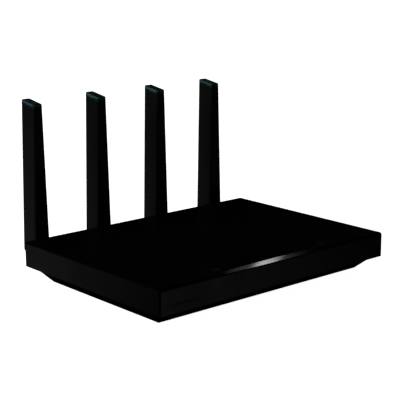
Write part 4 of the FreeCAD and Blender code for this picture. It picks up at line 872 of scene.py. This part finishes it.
studioLights = {
    # place, what it points at, width, height, watts, seen in gloss
    "leftBackPanel": ((-2.2, 0.75, 0.9), (0, 0, 0.10), 1.4, 1.4, 41.0, False),
    "facetSpark": ((1.129, 0.635, 1.044), (-0.015, -0.13, 0.044), 0.045, 0.045, 0.028, True),
    "facetGlow": ((1.135, 0.640, 1.050), (-0.015, -0.13, 0.044), 0.15, 0.07, 0.0075, True),
    "overheadPanel": ((0.1, 0.0, 2.4), (0, 0, 0), 1.6, 1.6, 4.0, False),
    "backPanel": ((-0.2, 2.4, 0.9), (0, 0, 0.05), 1.0, 0.6, 16.0, False),
}
for name, (place, target, wide, tall, watts, inGloss) in studioLights.items():
    lamp = bpy.data.lights.new(name, "AREA")
    lamp.shape = "RECTANGLE"
    lamp.size, lamp.size_y, lamp.energy = wide, tall, watts
    holder = bpy.data.objects.new(name, lamp)
    scene.collection.objects.link(holder)
    holder.location = place
    holder.rotation_euler = (Vector(target) - Vector(place)).to_track_quat("-Z", "Y").to_euler()
    holder.visible_glossy = inGloss
    holder.visible_camera = False

# soft cards below floor level that only gloss sees, where the upright faces mirror them
cards = {
    # place, what it points at, width, height, glow
    "lowLeftCard": ((-0.95, 1.75, -0.50), (-0.1, 0.05, 0.03), 0.6, 0.5, 0.16),
    "lowFrontCard": ((1.15, -1.75, -0.60), (0, -0.13, 0.03), 0.7, 0.6, 0.14),
}
for name, (place, target, wide, tall, glow) in cards.items():
    mesh = bpy.data.meshes.new(name)
    turn = (Vector(target) - Vector(place)).to_track_quat("-Z", "Y").to_matrix()
    signs = [(-1, -1), (1, -1), (1, 1), (-1, 1)]
    ends = [turn @ Vector((across * wide / 2, up * tall / 2, 0)) + Vector(place) for across, up in signs]
    mesh.from_pydata(ends, [], [(0, 1, 2, 3)])
    card = bpy.data.objects.new(name, mesh)
    scene.collection.objects.link(card)
    paint = newMaterial(name + "Glow", {"Base Color": colour(0, 0, 0), "Emission Color": colour(1, 1, 1),
                                        "Emission Strength": glow})[0]
    paint.cycles.emission_sampling = "NONE"
    mesh.materials.append(paint)
    card.visible_camera = False
    card.visible_diffuse = False
    card.visible_shadow = False

# angles in degrees: turned right from +Y, looking down, rolled
cameraLook = {
    "place": (-0.7995, -0.9287, 0.3695), "right": 41.0, "down": 13.175, "roll": -0.2,
    "lens": 104.0, "sensor": 36,
}
camera = bpy.data.cameras.new("mainCamera")
camera.lens = cameraLook["lens"]
camera.sensor_width = cameraLook["sensor"]
holder = bpy.data.objects.new("mainCamera", camera)
scene.collection.objects.link(holder)
holder.location = cameraLook["place"]
holder.rotation_euler = (Matrix.Rotation(math.radians(-cameraLook["right"]), 3, "Z")
                         @ Matrix.Rotation(math.radians(90 - cameraLook["down"]), 3, "X")
                         @ Matrix.Rotation(math.radians(cameraLook["roll"]), 3, "Z")).to_euler()
scene.camera = holder
print("studio ready")
